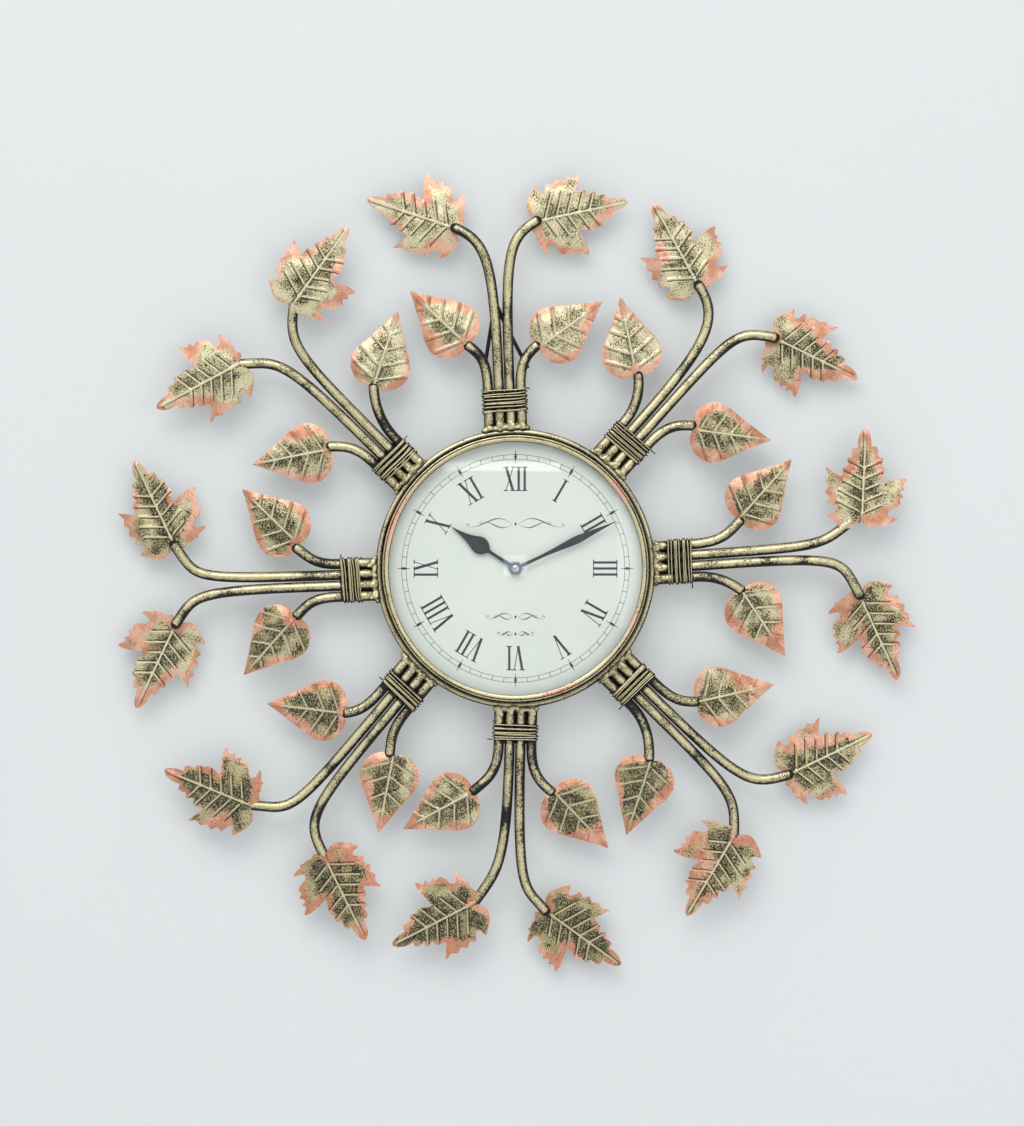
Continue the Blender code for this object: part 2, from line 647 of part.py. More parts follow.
MOTION_AXIS = step_from(CENTRE, mesh_distance(MINUTE_PINION_TEETH, MOTION_TEETH, MINUTE_MODULE), TO_MOTION)
KNOB_AXIS = step_from(MOTION_AXIS, mesh_distance(MINUTE_PINION_TEETH, MOTION_TEETH, MINUTE_MODULE), TO_KNOB)
THIRD_AXIS = step_from(CENTRE, mesh_distance(CENTRE_TEETH, PINION_TEETH, SLOW_MODULE), TO_THIRD)
SECONDS_AXIS = step_from(THIRD_AXIS, mesh_distance(THIRD_TEETH, PINION_TEETH, TRAIN_MODULE), TO_SECONDS)
INTERMEDIATE_AXIS = step_from(SECONDS_AXIS, mesh_distance(SECONDS_TEETH, PINION_TEETH, SLOW_MODULE),
                              TO_INTERMEDIATE)
ROTOR_AXIS = step_from(INTERMEDIATE_AXIS, mesh_distance(INTERMEDIATE_TEETH, PINION_TEETH, TRAIN_MODULE),
                       TO_ROTOR)

# Depths of the layers of wheels, from the hands back to the rotor.
HOUR_LAYER = (19.9, 21.4)
MOTION_LAYER = (17.2, 18.8)
CENTRE_LAYER = (14.6, 15.6)
THIRD_LAYER = (12.4, 13.4)
SECONDS_LAYER = (10.2, 11.2)
INTERMEDIATE_LAYER = (8.2, 9.2)
PINION_MARGIN = 0.2
REAR_PIVOT = 4.6
INTERMEDIATE_END = 12.6
SECONDS_END = 14.8
THIRD_END = 17.0
MINUTE_ARBOR_ENDS = (13.8, 31.4)
MOTION_ARBOR_RADIUS = 0.6
HOUR_TUBE_FRONT = 28.2
FLOOR_PLAY = 0.2
ROTOR_MAGNET = (10.6, 13.6)
ROTOR_MAGNET_RADIUS = 3.0
ROTOR_STUB = 1.6


def arbor(axis, radius=ARBOR_RADIUS, sides=ARBOR_SIDES):
    return circle(axis, radius, sides)


def train_wheel(name, slot, axis, teeth, module, driver_direction, layer, pinion_module, driven_direction,
                driven_layer, front_end):
    """A wheel turned by the pinion behind it, with its own pinion turning the wheel in front."""
    wheel = gear(axis, teeth, module, math.radians(driver_direction), gap_faces=True)
    pinion = gear(axis, PINION_TEETH, pinion_module, math.radians(driven_direction))
    shaft = arbor(axis)
    stack(name, slot, [
        (shaft, REAR_PIVOT, layer[0]),
        (wheel, layer[0], layer[1]),
        (shaft, layer[1], driven_layer[0] - PINION_MARGIN),
        (pinion, driven_layer[0] - PINION_MARGIN, driven_layer[1] + PINION_MARGIN),
        (shaft, driven_layer[1] + PINION_MARGIN, front_end)], axis=axis)


def build_going_train():
    rotor_pinion = gear(ROTOR_AXIS, PINION_TEETH, TRAIN_MODULE, math.radians(TO_ROTOR + 180))
    pinion_front = INTERMEDIATE_LAYER[1] + PINION_MARGIN
    stack("rotor", "magnet", [
        (arbor(ROTOR_AXIS), REAR_PIVOT, INTERMEDIATE_LAYER[0] - PINION_MARGIN),
        (rotor_pinion, INTERMEDIATE_LAYER[0] - PINION_MARGIN, pinion_front),
        (arbor(ROTOR_AXIS), pinion_front, ROTOR_MAGNET[0]),
        (circle(ROTOR_AXIS, ROTOR_MAGNET_RADIUS, SHAFT_SIDES), *ROTOR_MAGNET),
        (arbor(ROTOR_AXIS), ROTOR_MAGNET[1], ROTOR_MAGNET[1] + ROTOR_STUB)], axis=ROTOR_AXIS)
    train_wheel("intermediate_wheel", "white_nylon", INTERMEDIATE_AXIS, INTERMEDIATE_TEETH, TRAIN_MODULE,
                TO_ROTOR, INTERMEDIATE_LAYER, SLOW_MODULE, TO_INTERMEDIATE + 180, SECONDS_LAYER,
                INTERMEDIATE_END)
    train_wheel("seconds_wheel", "white_nylon", SECONDS_AXIS, SECONDS_TEETH, SLOW_MODULE,
                TO_INTERMEDIATE, SECONDS_LAYER, TRAIN_MODULE, TO_SECONDS + 180, THIRD_LAYER, SECONDS_END)
    train_wheel("third_wheel", "white_nylon", THIRD_AXIS, THIRD_TEETH, TRAIN_MODULE,
                TO_SECONDS, THIRD_LAYER, SLOW_MODULE, TO_THIRD + 180, CENTRE_LAYER, THIRD_END)
    centre_wheel = gear(CENTRE, CENTRE_TEETH, SLOW_MODULE, math.radians(TO_THIRD), gap_faces=True)
    clutch_bore = circle(CENTRE, MINUTE_ARBOR_RADIUS + SHAFT_PLAY, SHAFT_SIDES)
    stack("centre_wheel", "brass", [(centre_wheel, *CENTRE_LAYER)], clutch_bore)


def build_motion_work():
    minute_shaft = arbor(CENTRE, MINUTE_ARBOR_RADIUS, SHAFT_SIDES)
    pinion_layer = (MOTION_LAYER[0] - PINION_MARGIN, MOTION_LAYER[1] + PINION_MARGIN)
    stack("minute_arbor", "brass", [
        (minute_shaft, MINUTE_ARBOR_ENDS[0], pinion_layer[0]),
        (gear(CENTRE, MINUTE_PINION_TEETH, MINUTE_MODULE, math.radians(TO_MOTION)), *pinion_layer),
        (minute_shaft, pinion_layer[1], MINUTE_ARBOR_ENDS[1])])
    slim = arbor(MOTION_AXIS, MOTION_ARBOR_RADIUS)
    to_centre = math.radians(TO_MOTION + 180)
    motion_wheel = gear(MOTION_AXIS, MOTION_TEETH, MINUTE_MODULE, to_centre, gap_faces=True)
    motion_pinion = gear(MOTION_AXIS, MOTION_PINION_TEETH, HOUR_MODULE, to_centre)
    stack("motion_wheel", "white_nylon", [
        (slim, REAR_PIVOT, MOTION_LAYER[0]),
        (motion_wheel, *MOTION_LAYER),
        (motion_pinion, MOTION_LAYER[1], HOUR_LAYER[1] + PINION_MARGIN),
        (slim, HOUR_LAYER[1] + PINION_MARGIN, CASE_FLOOR - FLOOR_PLAY)], axis=MOTION_AXIS)
    hour_bore = circle(CENTRE, MINUTE_ARBOR_RADIUS + SHAFT_PLAY, SHAFT_SIDES)
    stack("hour_wheel", "white_nylon", [
        (gear(CENTRE, HOUR_TEETH, HOUR_MODULE, math.radians(TO_MOTION), gap_faces=True), *HOUR_LAYER),
        (circle(CENTRE, HOUR_TUBE_RADIUS, SHAFT_SIDES), HOUR_LAYER[1], HOUR_TUBE_FRONT)], hour_bore)
    # The knob's pinion meets the motion wheel at a tooth or a gap, whichever the wheel shows there.
    turned = MOTION_TEETH * (TO_KNOB - TO_MOTION - 180) / 360.0
    wheel_shows_gap = abs(turned - round(turned)) < 0.25
    knob_shaft = circle(KNOB_AXIS, KNOB_SHAFT_RADIUS, 12)
    knob_pinion = gear(KNOB_AXIS, MINUTE_PINION_TEETH, MINUTE_MODULE, math.radians(TO_KNOB + 180),
                       gap_faces=not wheel_shows_gap)
    grip = gear(KNOB_AXIS, KNOB_RIDGES, 2 * KNOB_RADIUS / KNOB_RIDGES, 0.0)
    stack("set_knob", "movement_black", [
        (grip, *KNOB),
        (knob_shaft, KNOB[1], pinion_layer[0]),
        (knob_pinion, *pinion_layer)], axis=KNOB_AXIS)


def build_movement_body():
    outer = rounded_box((-CASE_HALF, CASE_HALF), (-CASE_HALF, CASE_HALF), CASE_CORNER)
    chamber = rounded_box((-CHAMBER_X, CHAMBER_X), CHAMBER_Z, CHAMBER_CORNER, 2)
    trough = rounded_box((-TROUGH_X, TROUGH_X), TROUGH_Z, TROUGH_CORNER, 1)
    neck = circle(CENTRE, NECK_RADIUS, SHAFT_SIDES)
    bore = circle(CENTRE, NECK_BORE, SHAFT_SIDES)
    bm = bmesh.new()
    add_wall(bm, outer, CASE_REAR, CASE_FRONT)
    add_wall(bm, neck, CASE_FRONT, NECK_FRONT)
    add_wall(bm, bore, CASE_FLOOR, NECK_FRONT)
    add_wall(bm, chamber, CASE_REAR, CASE_FLOOR)
    add_wall(bm, trough, CASE_REAR, TROUGH_FLOOR)
    add_face(bm, outer, [chamber, trough], CASE_REAR)
    add_face(bm, outer, [neck], CASE_FRONT)
    add_face(bm, neck, [bore], NECK_FRONT)
    add_face(bm, chamber, [bore], CASE_FLOOR)
    add_face(bm, trough, [], TROUGH_FLOOR)
    finish("movement_case", "movement_black", bm)
    plate("movement_cover", "movement_black", rounded_box((-COVER_X, COVER_X), COVER_Z, COVER_CORNER),
          [circle(KNOB_AXIS, KNOB_SHAFT_RADIUS + SHAFT_PLAY, 12)], *COVER)
    plate("neck_nut", "brass", circle(CENTRE, NECK_NUT_RADIUS, 6),
          [circle(CENTRE, NECK_NUT_BORE, SHAFT_SIDES)], *NECK_NUT)


def rectangle(x_range, z_range):
    return [(x_range[0], z_range[0]), (x_range[1], z_range[0]), (x_range[1], z_range[1]),
            (x_range[0], z_range[1])]


def build_cell_and_contacts():
    inset, length = CELL_SHOULDER
    revolve("battery", "cell_jacket",
            [(0, CELL_BODY[0]), (CELL_RADIUS - inset, CELL_BODY[0]), (CELL_RADIUS, CELL_BODY[0] + length),
             (CELL_RADIUS, CELL_BODY[1] - length), (CELL_RADIUS - inset, CELL_BODY[1]),
             (CELL_NUB_RADIUS, CELL_BODY[1]), (CELL_NUB_RADIUS, CELL_NUB_END), (0, CELL_NUB_END)],
            SHAFT_SIDES, axis_x=(CELL_Z, CELL_DEPTH))
    plate("contact_positive", "nickel", rectangle(STRIP_X, STRIP_Z), [], *STRIP_DEPTH)
    path = []
    steps = 8 * SPRING_TURNS
    for step in range(steps + 1):
        share = step / steps
        angle = 2 * math.pi * SPRING_TURNS * share
        radius = SPRING_RADII[0] + (SPRING_RADII[1] - SPRING_RADII[0]) * share
        path.append(Vector((SPRING_X + SPRING_LENGTH * share, -CELL_DEPTH + radius * math.cos(angle),
                            CELL_Z + radius * math.sin(angle))))
    bm = bmesh.new()
    sweep(bm, path, [SPRING_WIRE] * len(path), SPRING_SIDES)
    finish("contact_negative", "nickel", bm)


def build_drive():
    hole_centre, hole_radius = BOARD_HOLE
    plate("circuit_board", "board_green", rectangle(BOARD_X, BOARD_Z),
          [circle(hole_centre, hole_radius, 12)], *BOARD_DEPTH)
    plate("stator", "nickel", rectangle(STATOR_X, STATOR_Z),
          [circle(ROTOR_AXIS, ROTOR_MAGNET_RADIUS + STATOR_GAP, SHAFT_SIDES)], *STATOR_DEPTH)
    left, right = COIL_X
    revolve("coil", "coil_copper",
            [(0, left), (COIL_CHEEK_RADIUS, left), (COIL_CHEEK_RADIUS, left + COIL_CHEEK),
             (COIL_RADIUS, left + COIL_CHEEK), (COIL_RADIUS, right - COIL_CHEEK),
             (COIL_CHEEK_RADIUS, right - COIL_CHEEK), (COIL_CHEEK_RADIUS, right), (0, right)],
            12, axis_x=(COIL_Z, COIL_DEPTH))


def build():
    clear_scene()
    build_sprays()
    build_hoop_and_hanger()
    build_case()
    build_hands()
    build_going_train()
    build_motion_work()
    build_movement_body()
    build_cell_and_contacts()
    build_drive()


build()
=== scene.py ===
"""Looks of the leaf-spray wall clock: fine pieces for the CAD nodes that show, a pale wall and studio light.

Measures are in millimetres.  A depth is the distance forward of the wall, so y = -depth.
"""
import math
import random

import bmesh
import bpy
import numpy as np
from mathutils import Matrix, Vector, noise
from mathutils.geometry import delaunay_2d_cdt, tessellate_polygon


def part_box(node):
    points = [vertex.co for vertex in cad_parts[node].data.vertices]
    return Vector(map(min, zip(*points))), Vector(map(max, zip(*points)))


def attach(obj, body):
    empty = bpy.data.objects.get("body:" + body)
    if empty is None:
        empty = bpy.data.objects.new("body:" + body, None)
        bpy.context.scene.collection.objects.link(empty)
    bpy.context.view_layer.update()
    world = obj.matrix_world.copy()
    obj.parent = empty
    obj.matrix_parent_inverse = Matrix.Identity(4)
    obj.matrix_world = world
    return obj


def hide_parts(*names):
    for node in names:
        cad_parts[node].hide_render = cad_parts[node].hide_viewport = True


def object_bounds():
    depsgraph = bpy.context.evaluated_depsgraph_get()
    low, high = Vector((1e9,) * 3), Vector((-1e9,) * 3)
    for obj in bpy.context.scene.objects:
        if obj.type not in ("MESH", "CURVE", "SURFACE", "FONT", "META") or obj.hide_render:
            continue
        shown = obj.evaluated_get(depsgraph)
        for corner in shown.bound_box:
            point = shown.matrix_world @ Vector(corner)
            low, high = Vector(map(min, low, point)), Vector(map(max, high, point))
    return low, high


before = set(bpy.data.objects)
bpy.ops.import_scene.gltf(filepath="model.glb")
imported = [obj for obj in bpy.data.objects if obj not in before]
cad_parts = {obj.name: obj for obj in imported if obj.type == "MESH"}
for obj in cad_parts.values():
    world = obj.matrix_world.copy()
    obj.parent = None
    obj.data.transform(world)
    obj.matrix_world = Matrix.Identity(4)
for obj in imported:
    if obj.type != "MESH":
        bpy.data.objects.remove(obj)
CAD_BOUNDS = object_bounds()

MM = 0.001
HOUR_ANGLE = 302.9
MINUTE_ANGLE = 64.9

# ---- sizes taken from the frame ----


def depth_range(node):
    """Rear and front depth of a CAD node."""
    low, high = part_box(node)
    return -high.y / MM, -low.y / MM


def radius_of(node):
    low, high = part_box(node)
    return (high.x - low.x) / 2 / MM


HOOP_OUTER = radius_of("frame_hoop")
HOOP_REAR, HOOP_FRONT = depth_range("frame_hoop")
HOOP_WIRE = (HOOP_FRONT - HOOP_REAR) / 2 / math.cos(math.pi / 8)
HOOP_DEPTH = (HOOP_REAR + HOOP_FRONT) / 2
HOOP_RADIUS = HOOP_OUTER - HOOP_WIRE * math.cos(math.pi / 8)
BEZEL_OUTER = radius_of("bezel")
BEZEL_REAR, BEZEL_FRONT = depth_range("bezel")
GLASS_RADIUS = radius_of("glass")
GLASS_REAR, GLASS_FRONT = depth_range("glass")
DIAL_FRONT = depth_range("dial")[1]
DRUM_REAR, DRUM_FRONT = depth_range("case_drum")
DRUM_RADIUS = radius_of("case_drum")

# Sizes shared with the CAD, which the frame's boxes don't show.
ROD_RADIUS = 3.95
ROD_PITCH = 8.35
ROD_DEPTH = 18.0
ROD_GAP_AT_HOOP = 0.3
WRAP_HALF_LENGTH = 10.0
WIRE = 0.52
SHEET = 0.7
MAPLE_UNDER_FRONT = 15.0
MAPLE_OVER_FRONT = 22.8
HEART_FRONT = 18.9

# How finely the round shapes are cut, the lumps in a weld bead and the squareness of the binding's turns.
RING_SIDES = 240
ROD_SIDES = 22
WIRE_SIDES = 8
BEND_STEPS = 40
WRAP_STEPS = 44
TAIL_STEPS = 5
BEZEL_STEPS = 24
BEAD_LUMPS = 15
WRAP_SQUARENESS = 2 / 4.5

STEM_KINDS = ("heart", "maple", "maple", "heart")

# The same rows as the CAD's: name, wrap centre (x, z), direction of the rods, turns and length of the
# wire binding.  Then the stems: root of the leaf, direction of the rod's end, leaf heading, slip, handle
# shares of the bend.
SPRAYS = [
    ("top", (-8.2, 127.8), 92.3, 13, 20, [
        ((-36.6, 170.7), 146, 136.7, 0, 0.55, 0.35),
        ((-46.2, 260.6), 158, 161.4, 0, 0.74, 0.22),
        ((16.3, 266.1), 32, 12, 0, 0.82, 0.2),
        ((16.3, 170.7), 42, 36.3, -2.5, 0.55, 0.3)]),
    ("upper_right", (85.3, 95.6), 48, 11, 15.5, [
        ((93.8, 148.1), 98, 101.4, 1.5, 0.4, 0.3),
        ((140.1, 216.8), 124, 118.6, 0, 0.7, 0.26),
        ((198.4, 176.7), -10, -26, 0, 0.85, 0.25),
        ((135.6, 109.4), -3, -7.5, -3.2, 0.55, 0.3)]),
    ("right", (125.8, 5.4), 4, 11, 18.6, [
        ((172.1, 36.7), 45, 48.2, 2, 0.6, 0.3),
        ((256.5, 36.2), 40, 87.4, -8.2, 0.8, 0.25),
        ((263.5, -20.3), -60, -65.5, 0, 0.95, 0.25),
        ((172.8, -16.8), -36, -56.4, 0, 0.45, 0.3)]),
    ("lower_right", (89.9, -88.8), -44.5, 11, 14.5, [
        ((138.8, -101.9), 2, 12.6, 0, 0.55, 0.32),
        ((209.2, -157.8), 16, 25.6, 0, 0.82, 0.25),
        ((167.2, -204), -92, -120.7, 0, 0.8, 0.25),
        ((102.2, -145.7), -93, -108, 1.5, 0.4, 0.3)]),
    ("bottom", (-0.1, -124.6), -91.5, 9, 12.5, [
        ((27.9, -171.1), -38, -46.4, 1.5, 0.55, 0.3),
        ((22.9, -262.2), -52, -36, 0, 0.93, 0.2),
        ((-31.1, -255.1), -126, 207.6, 0, 0.75, 0.25),
        ((-32.5, -170.4), 220, 208.5, 0, 0.55, 0.32)]),
    ("lower_left", (-86.2, -93.2), 230, 10, 13.5, [
        ((-96.3, -142), 264, 259.1, 3, 0.55, 0.3),
        ((-146.3, -220.2), 297, 296.3, 0, 0.85, 0.25),
        ((-202.6, -181.1), 176, 157.8, 0, 0.92, 0.25),
        ((-130, -110.7), 190, 173.1, 0, 0.55, 0.32)]),
    ("left", (-125.1, -8.8), 182, 10, 17, [
        ((-167.4, -36.3), 226, 228.1, 0, 0.6, 0.32),
        ((-260.1, -42.5), 236, 244.4, 0, 0.9, 0.22),
        ((-261.5, 17.9), 128, 115.2, 0, 0.95, 0.25),
        ((-168.1, 15.8), 146, 135.8, -3.5, 0.55, 0.3)]),
    ("upper_left", (-92.8, 82.6), 135, 11, 15, [
        ((-142.3, 93.3), 182, 191.1, 2, 0.5, 0.32),
        ((-211.6, 156.4), 182, 208.2, 0, 0.85, 0.25),
        ((-169.4, 203), 82, 54.5, 0, 0.8, 0.25),
        ((-108.6, 139.3), 92, 72.1, 0, 0.4, 0.3)])]

# How dark a leaf is painted: darker towards the foot of the clock, as painted shade from the light above,
# and a tone by chance.
LEVEL_MIDDLE = 1.27
SHADE_FALL = 0.55
TONE_SPREAD = 0.35
# How much of its leaves' painted shade a spray's rods share, and how far inside the binding's ends the
# painted shade under it stops, on the hoop's side and on the leaf's.
ROD_SHADE_SHARE = 0.10
SHADE_INSET_HOOP = 1.5
SHADE_INSET_LEAF = 3.0

MAPLE_OVER = {"right_maple_2", "upper_left_maple_2", "upper_left_maple_3", "lower_left_maple_2",
              "lower_left_maple_3", "lower_right_maple_3", "bottom_maple_3"}

# Outline of the lobed leaf, from its tip round: (along the midrib, to its left).
MAPLE = [
    (71.4, 0), (70.6, -1.6), (68, -3.1), (64, -4.3), (60, -4.9), (57.6, -5), (57.9, -7),
    (57.2, -9.3), (55, -10.1), (51.5, -10.2), (50.2, -10.4), (50, -12), (48.8, -14.3), (46, -13.6),
    (43.2, -13.9), (41.2, -15.8), (38, -15.2), (35, -14.2), (31.5, -13), (30.2, -13.3), (30.8, -16),
    (32.4, -20), (33.6, -24), (34.6, -29), (34.4, -32.6), (33.4, -33.8), (31, -31.5), (28.9, -30),
    (27.6, -30.6), (26.2, -32.2), (25.4, -30.4), (24.4, -28.6), (22.4, -29.4), (20.2, -31.6), (19.6, -29.8),
    (18.2, -28.2), (16.4, -29), (14.8, -29.4), (12.8, -27.6), (11.2, -24.6), (10.4, -21.6), (8.2, -19.9),
    (6.2, -19.8), (4.8, -21.4), (4.2, -25), (3.6, -27.9), (1.8, -26), (0.6, -23.6), (0, -20.6),
    (-0.6, -20), (-2.6, -19.6), (-2, -17.4), (-2.4, -15.2), (-3.3, -13.4), (-2.4, -11), (-3.8, -8.4),
    (-5.3, -6.4), (-4, -4), (-1.2, -1.6), (0.4, 0.4), (-1.8, 3), (-3.6, 5), (-5.2, 8),
    (-5.8, 11), (-5, 14.8), (-3, 18.4), (0, 22.4), (2.4, 25.2), (4.4, 26.8), (5.6, 24),
    (6.2, 21.6), (8.2, 20.2), (10, 21.2), (11.6, 24), (12.8, 27), (15, 26.2), (17.4, 24.9),
    (19.2, 26.6), (21.2, 28.7), (23.4, 27.4), (25.8, 26.1), (28, 27.8), (29.8, 28.9), (32, 27.6),
    (34.4, 26.6), (37.4, 28.2), (40.6, 29.2), (39, 26.6), (36.8, 23), (34.8, 19.4), (33.6, 17.6),
    (35.2, 16.2), (37.6, 16.2), (40.2, 16.4), (41.6, 14.4), (42.6, 11.9), (45, 12.2), (47.8, 13.6),
    (48.8, 11.6), (49.4, 9.6), (51.6, 10.2), (54.2, 10), (56, 9.2), (56.2, 7), (56.4, 5.4),
    (60, 5.8), (64, 5.2), (67.6, 4), (70.4, 1.8)]
MAPLE_VEIN_FIRST = 7.0
MAPLE_VEIN_PITCH = 8.65
MAPLE_VEIN_RISE = 0.46
MAPLE_VEIN_REACH = [(19.2, -15.4), (19.4, -15.6), (15.8, -12.0), (16.4, -15.4), (13.4, -14.2)]

# Half outline of the heart leaf, from its notch to its tip: (along the midrib, out from it).
HEART = [
    (0.8, 0), (0, 1.5), (-0.6, 4), (-0.9, 7), (-0.4, 10), (0.8, 13), (2.8, 16.2), (5.6, 19),
    (8.6, 21.2), (12, 22.7), (15.4, 23.3), (19, 23), (23, 21.7), (27, 19.9), (31, 17.4),
    (35, 14.9), (39, 12.5), (43, 10.1), (47, 7.8), (51, 5.5), (55, 3.2), (58.6, 1.3), (61, 0)]
HEART_VEINS = [(5.5, 15.5, 22), (16.5, 27, 19.4), (29.5, 37.8, 13.2), (42.8, 47.8, 7.2)]
HEART_CROWN = 4.6


# ---- node materials ----

class Field:
    """The output of a material's node, so that sums can be written as plain arithmetic."""

    def __init__(self, paint, socket):
        self.paint = paint
        self.socket = socket

    def __add__(self, other):
        return self.paint.math("ADD", self, other)

    def __sub__(self, other):
        return self.paint.math("SUBTRACT", self, other)

    def __rsub__(self, other):
        return self.paint.math("SUBTRACT", other, self)

    def __mul__(self, other):
        return self.paint.math("MULTIPLY", self, other)

    def __pow__(self, other):
        return self.paint.math("POWER", self, other)


class Paint:
    """A short way to write a node material."""

    def __init__(self, name):
        self.material = bpy.data.materials.new(name)
        self.material.use_nodes = True
        self.tree = self.material.node_tree
        self.shader = self.tree.nodes["Principled BSDF"]
        self.coordinates = self.tree.nodes.new("ShaderNodeTexCoord").outputs["Object"]

    def feed(self, socket, value):
        if isinstance(value, Field):
            self.tree.links.new(value.socket, socket)
        elif isinstance(value, tuple) and len(value) == 3 and socket.type == "RGBA":
            socket.default_value = (*value, 1.0)
        else:
            socket.default_value = value

    def set(self, **inputs):
        for key, value in inputs.items():
            self.feed(self.shader.inputs[key.replace("_", " ")], value)
        return self

    def node(self, kind, output, **inputs):
        """A new node's output, with its inputs set or linked."""
        node = self.tree.nodes.new(kind)
        for key, value in inputs.items():
            self.feed(node.inputs[key], value)
        return Field(self, node.outputs[output])

    def noise(self, size, detail=2.0, roughness=0.5, stretch=(1.0, 1.0, 1.0)):
        """Noise whose features are about size millimetres."""
        place = Field(self, self.coordinates)
        if stretch != (1.0, 1.0, 1.0):
            place = self.node("ShaderNodeMapping", "Vector", Vector=place, Scale=stretch)
        return self.node("ShaderNodeTexNoise", "Fac", Vector=place, Scale=1 / (size * MM), Detail=detail,
                         Roughness=roughness)

    def attribute(self, name):
        field = self.node("ShaderNodeAttribute", "Fac")
        field.socket.node.attribute_name = name
        return field

    def math(self, operation, first, second):
        node = self.tree.nodes.new("ShaderNodeMath")
        node.operation = operation
        self.feed(node.inputs[0], first)
        self.feed(node.inputs[1], second)
        return Field(self, node.outputs[0])

    def ramp(self, value, low, high, to_low=0.0, to_high=1.0):
        """A smooth step of value from low to high."""
        inputs = {"Value": value, "From Min": low, "From Max": high, "To Min": to_low, "To Max": to_high}
        field = self.node("ShaderNodeMapRange", "Result", **inputs)
        field.socket.node.interpolation_type = "SMOOTHSTEP"
        return field

    def mix(self, factor, first, second):
        node = self.tree.nodes.new("ShaderNodeMix")
        node.data_type = "RGBA"
        self.feed(node.inputs["Factor"], factor)
        self.feed(node.inputs["A"], first)
        self.feed(node.inputs["B"], second)
        return Field(self, node.outputs["Result"])

    def bump(self, height, strength, distance):
        self.set(Normal=self.node("ShaderNodeBump", "Normal", Strength=strength, Distance=distance * MM,
                                  Height=height))
        return self

    def blend_shaders(self, factor, first, second):
        """Puts a mix of two shaders on the surface."""
        mixed = self.node("ShaderNodeMixShader", 0, Fac=factor)
        for index, shader in ((1, first), (2, second)):
            self.feed(mixed.socket.node.inputs[index], shader)
        self.feed(self.tree.nodes["Material Output"].inputs["Surface"], mixed)
        return self.material


# The deeper gold serves as painted shade, and the pale gold as a painted highlight as well as a paler tone.
GOLD = (0.565, 0.49, 0.268)
GOLD_SHADE = (0.305, 0.25, 0.122)
PALE_GOLD_HIGHLIGHT = (0.88, 0.815, 0.565)
COPPER = (0.62, 0.28, 0.17)
COPPER_PALE = (0.86, 0.49, 0.35)
BLACK = (0.012, 0.012, 0.011)
VEIN_SHADE = (0.030, 0.022, 0.014)
LEAF_REAR = (0.10, 0.085, 0.05)


def gilt(name, threshold=0.62, softness=0.10, speckle=1.0, highlight_strength=0.6):
    """Black paint dry-brushed with gold where the surface faces the brush, with painted shade and a painted
    highlight.

    The gold deepens towards a bar's sides as painted shade and turns pale where the bar faces squarely, as a
    painted highlight.  The mesh attributes say how squarely each point faces the brush and the light, where
    it is black, from the brush missing it and from painted shade, and where copper was sprayed over."""
    paint = Paint(name)
    front, soot_and_shade, blush = (paint.attribute(key) for key in ("front", "soot_and_shade", "blush"))
    patches = paint.noise(12.0, 3.0, 0.6)
    grain = paint.noise(1.5, 2.0, 0.6)
    reach = front + (patches - 0.5) * 0.35 - soot_and_shade + (grain - 0.5) * 0.6
    covered = paint.ramp(reach, threshold - softness, threshold + softness)
    zone = paint.ramp(paint.noise(17.0, 2.0), 0.40, 0.64)
    specks = paint.ramp(paint.noise(0.88, 2.0, 0.6) + zone * (0.11 * speckle), 0.61, 0.70)
    bare = covered * (1.0 - specks)
    # Deeper gold towards the sides is painted shade; pale gold where the bar faces squarely is a painted
    # highlight.
    tone = paint.mix(paint.ramp(front, 0.35, 0.80), GOLD_SHADE, GOLD)
    tone = paint.mix(paint.ramp(front, 0.86, 1.0, 0.0, highlight_strength), tone, PALE_GOLD_HIGHLIGHT)
    tone = paint.mix(paint.ramp(blush + (grain - 0.5) * 0.7, 0.25, 0.95), tone, COPPER_PALE)
    paint.set(Base_Color=paint.mix(bare, BLACK, tone), Metallic=paint.ramp(bare, 0.0, 1.0, 0.0, 0.55),
              Roughness=paint.ramp(bare, 0.0, 1.0, 0.55, 0.34), Specular_IOR_Level=0.25)
    return paint.bump(bare * 0.5 + grain, 0.4, 0.12).material


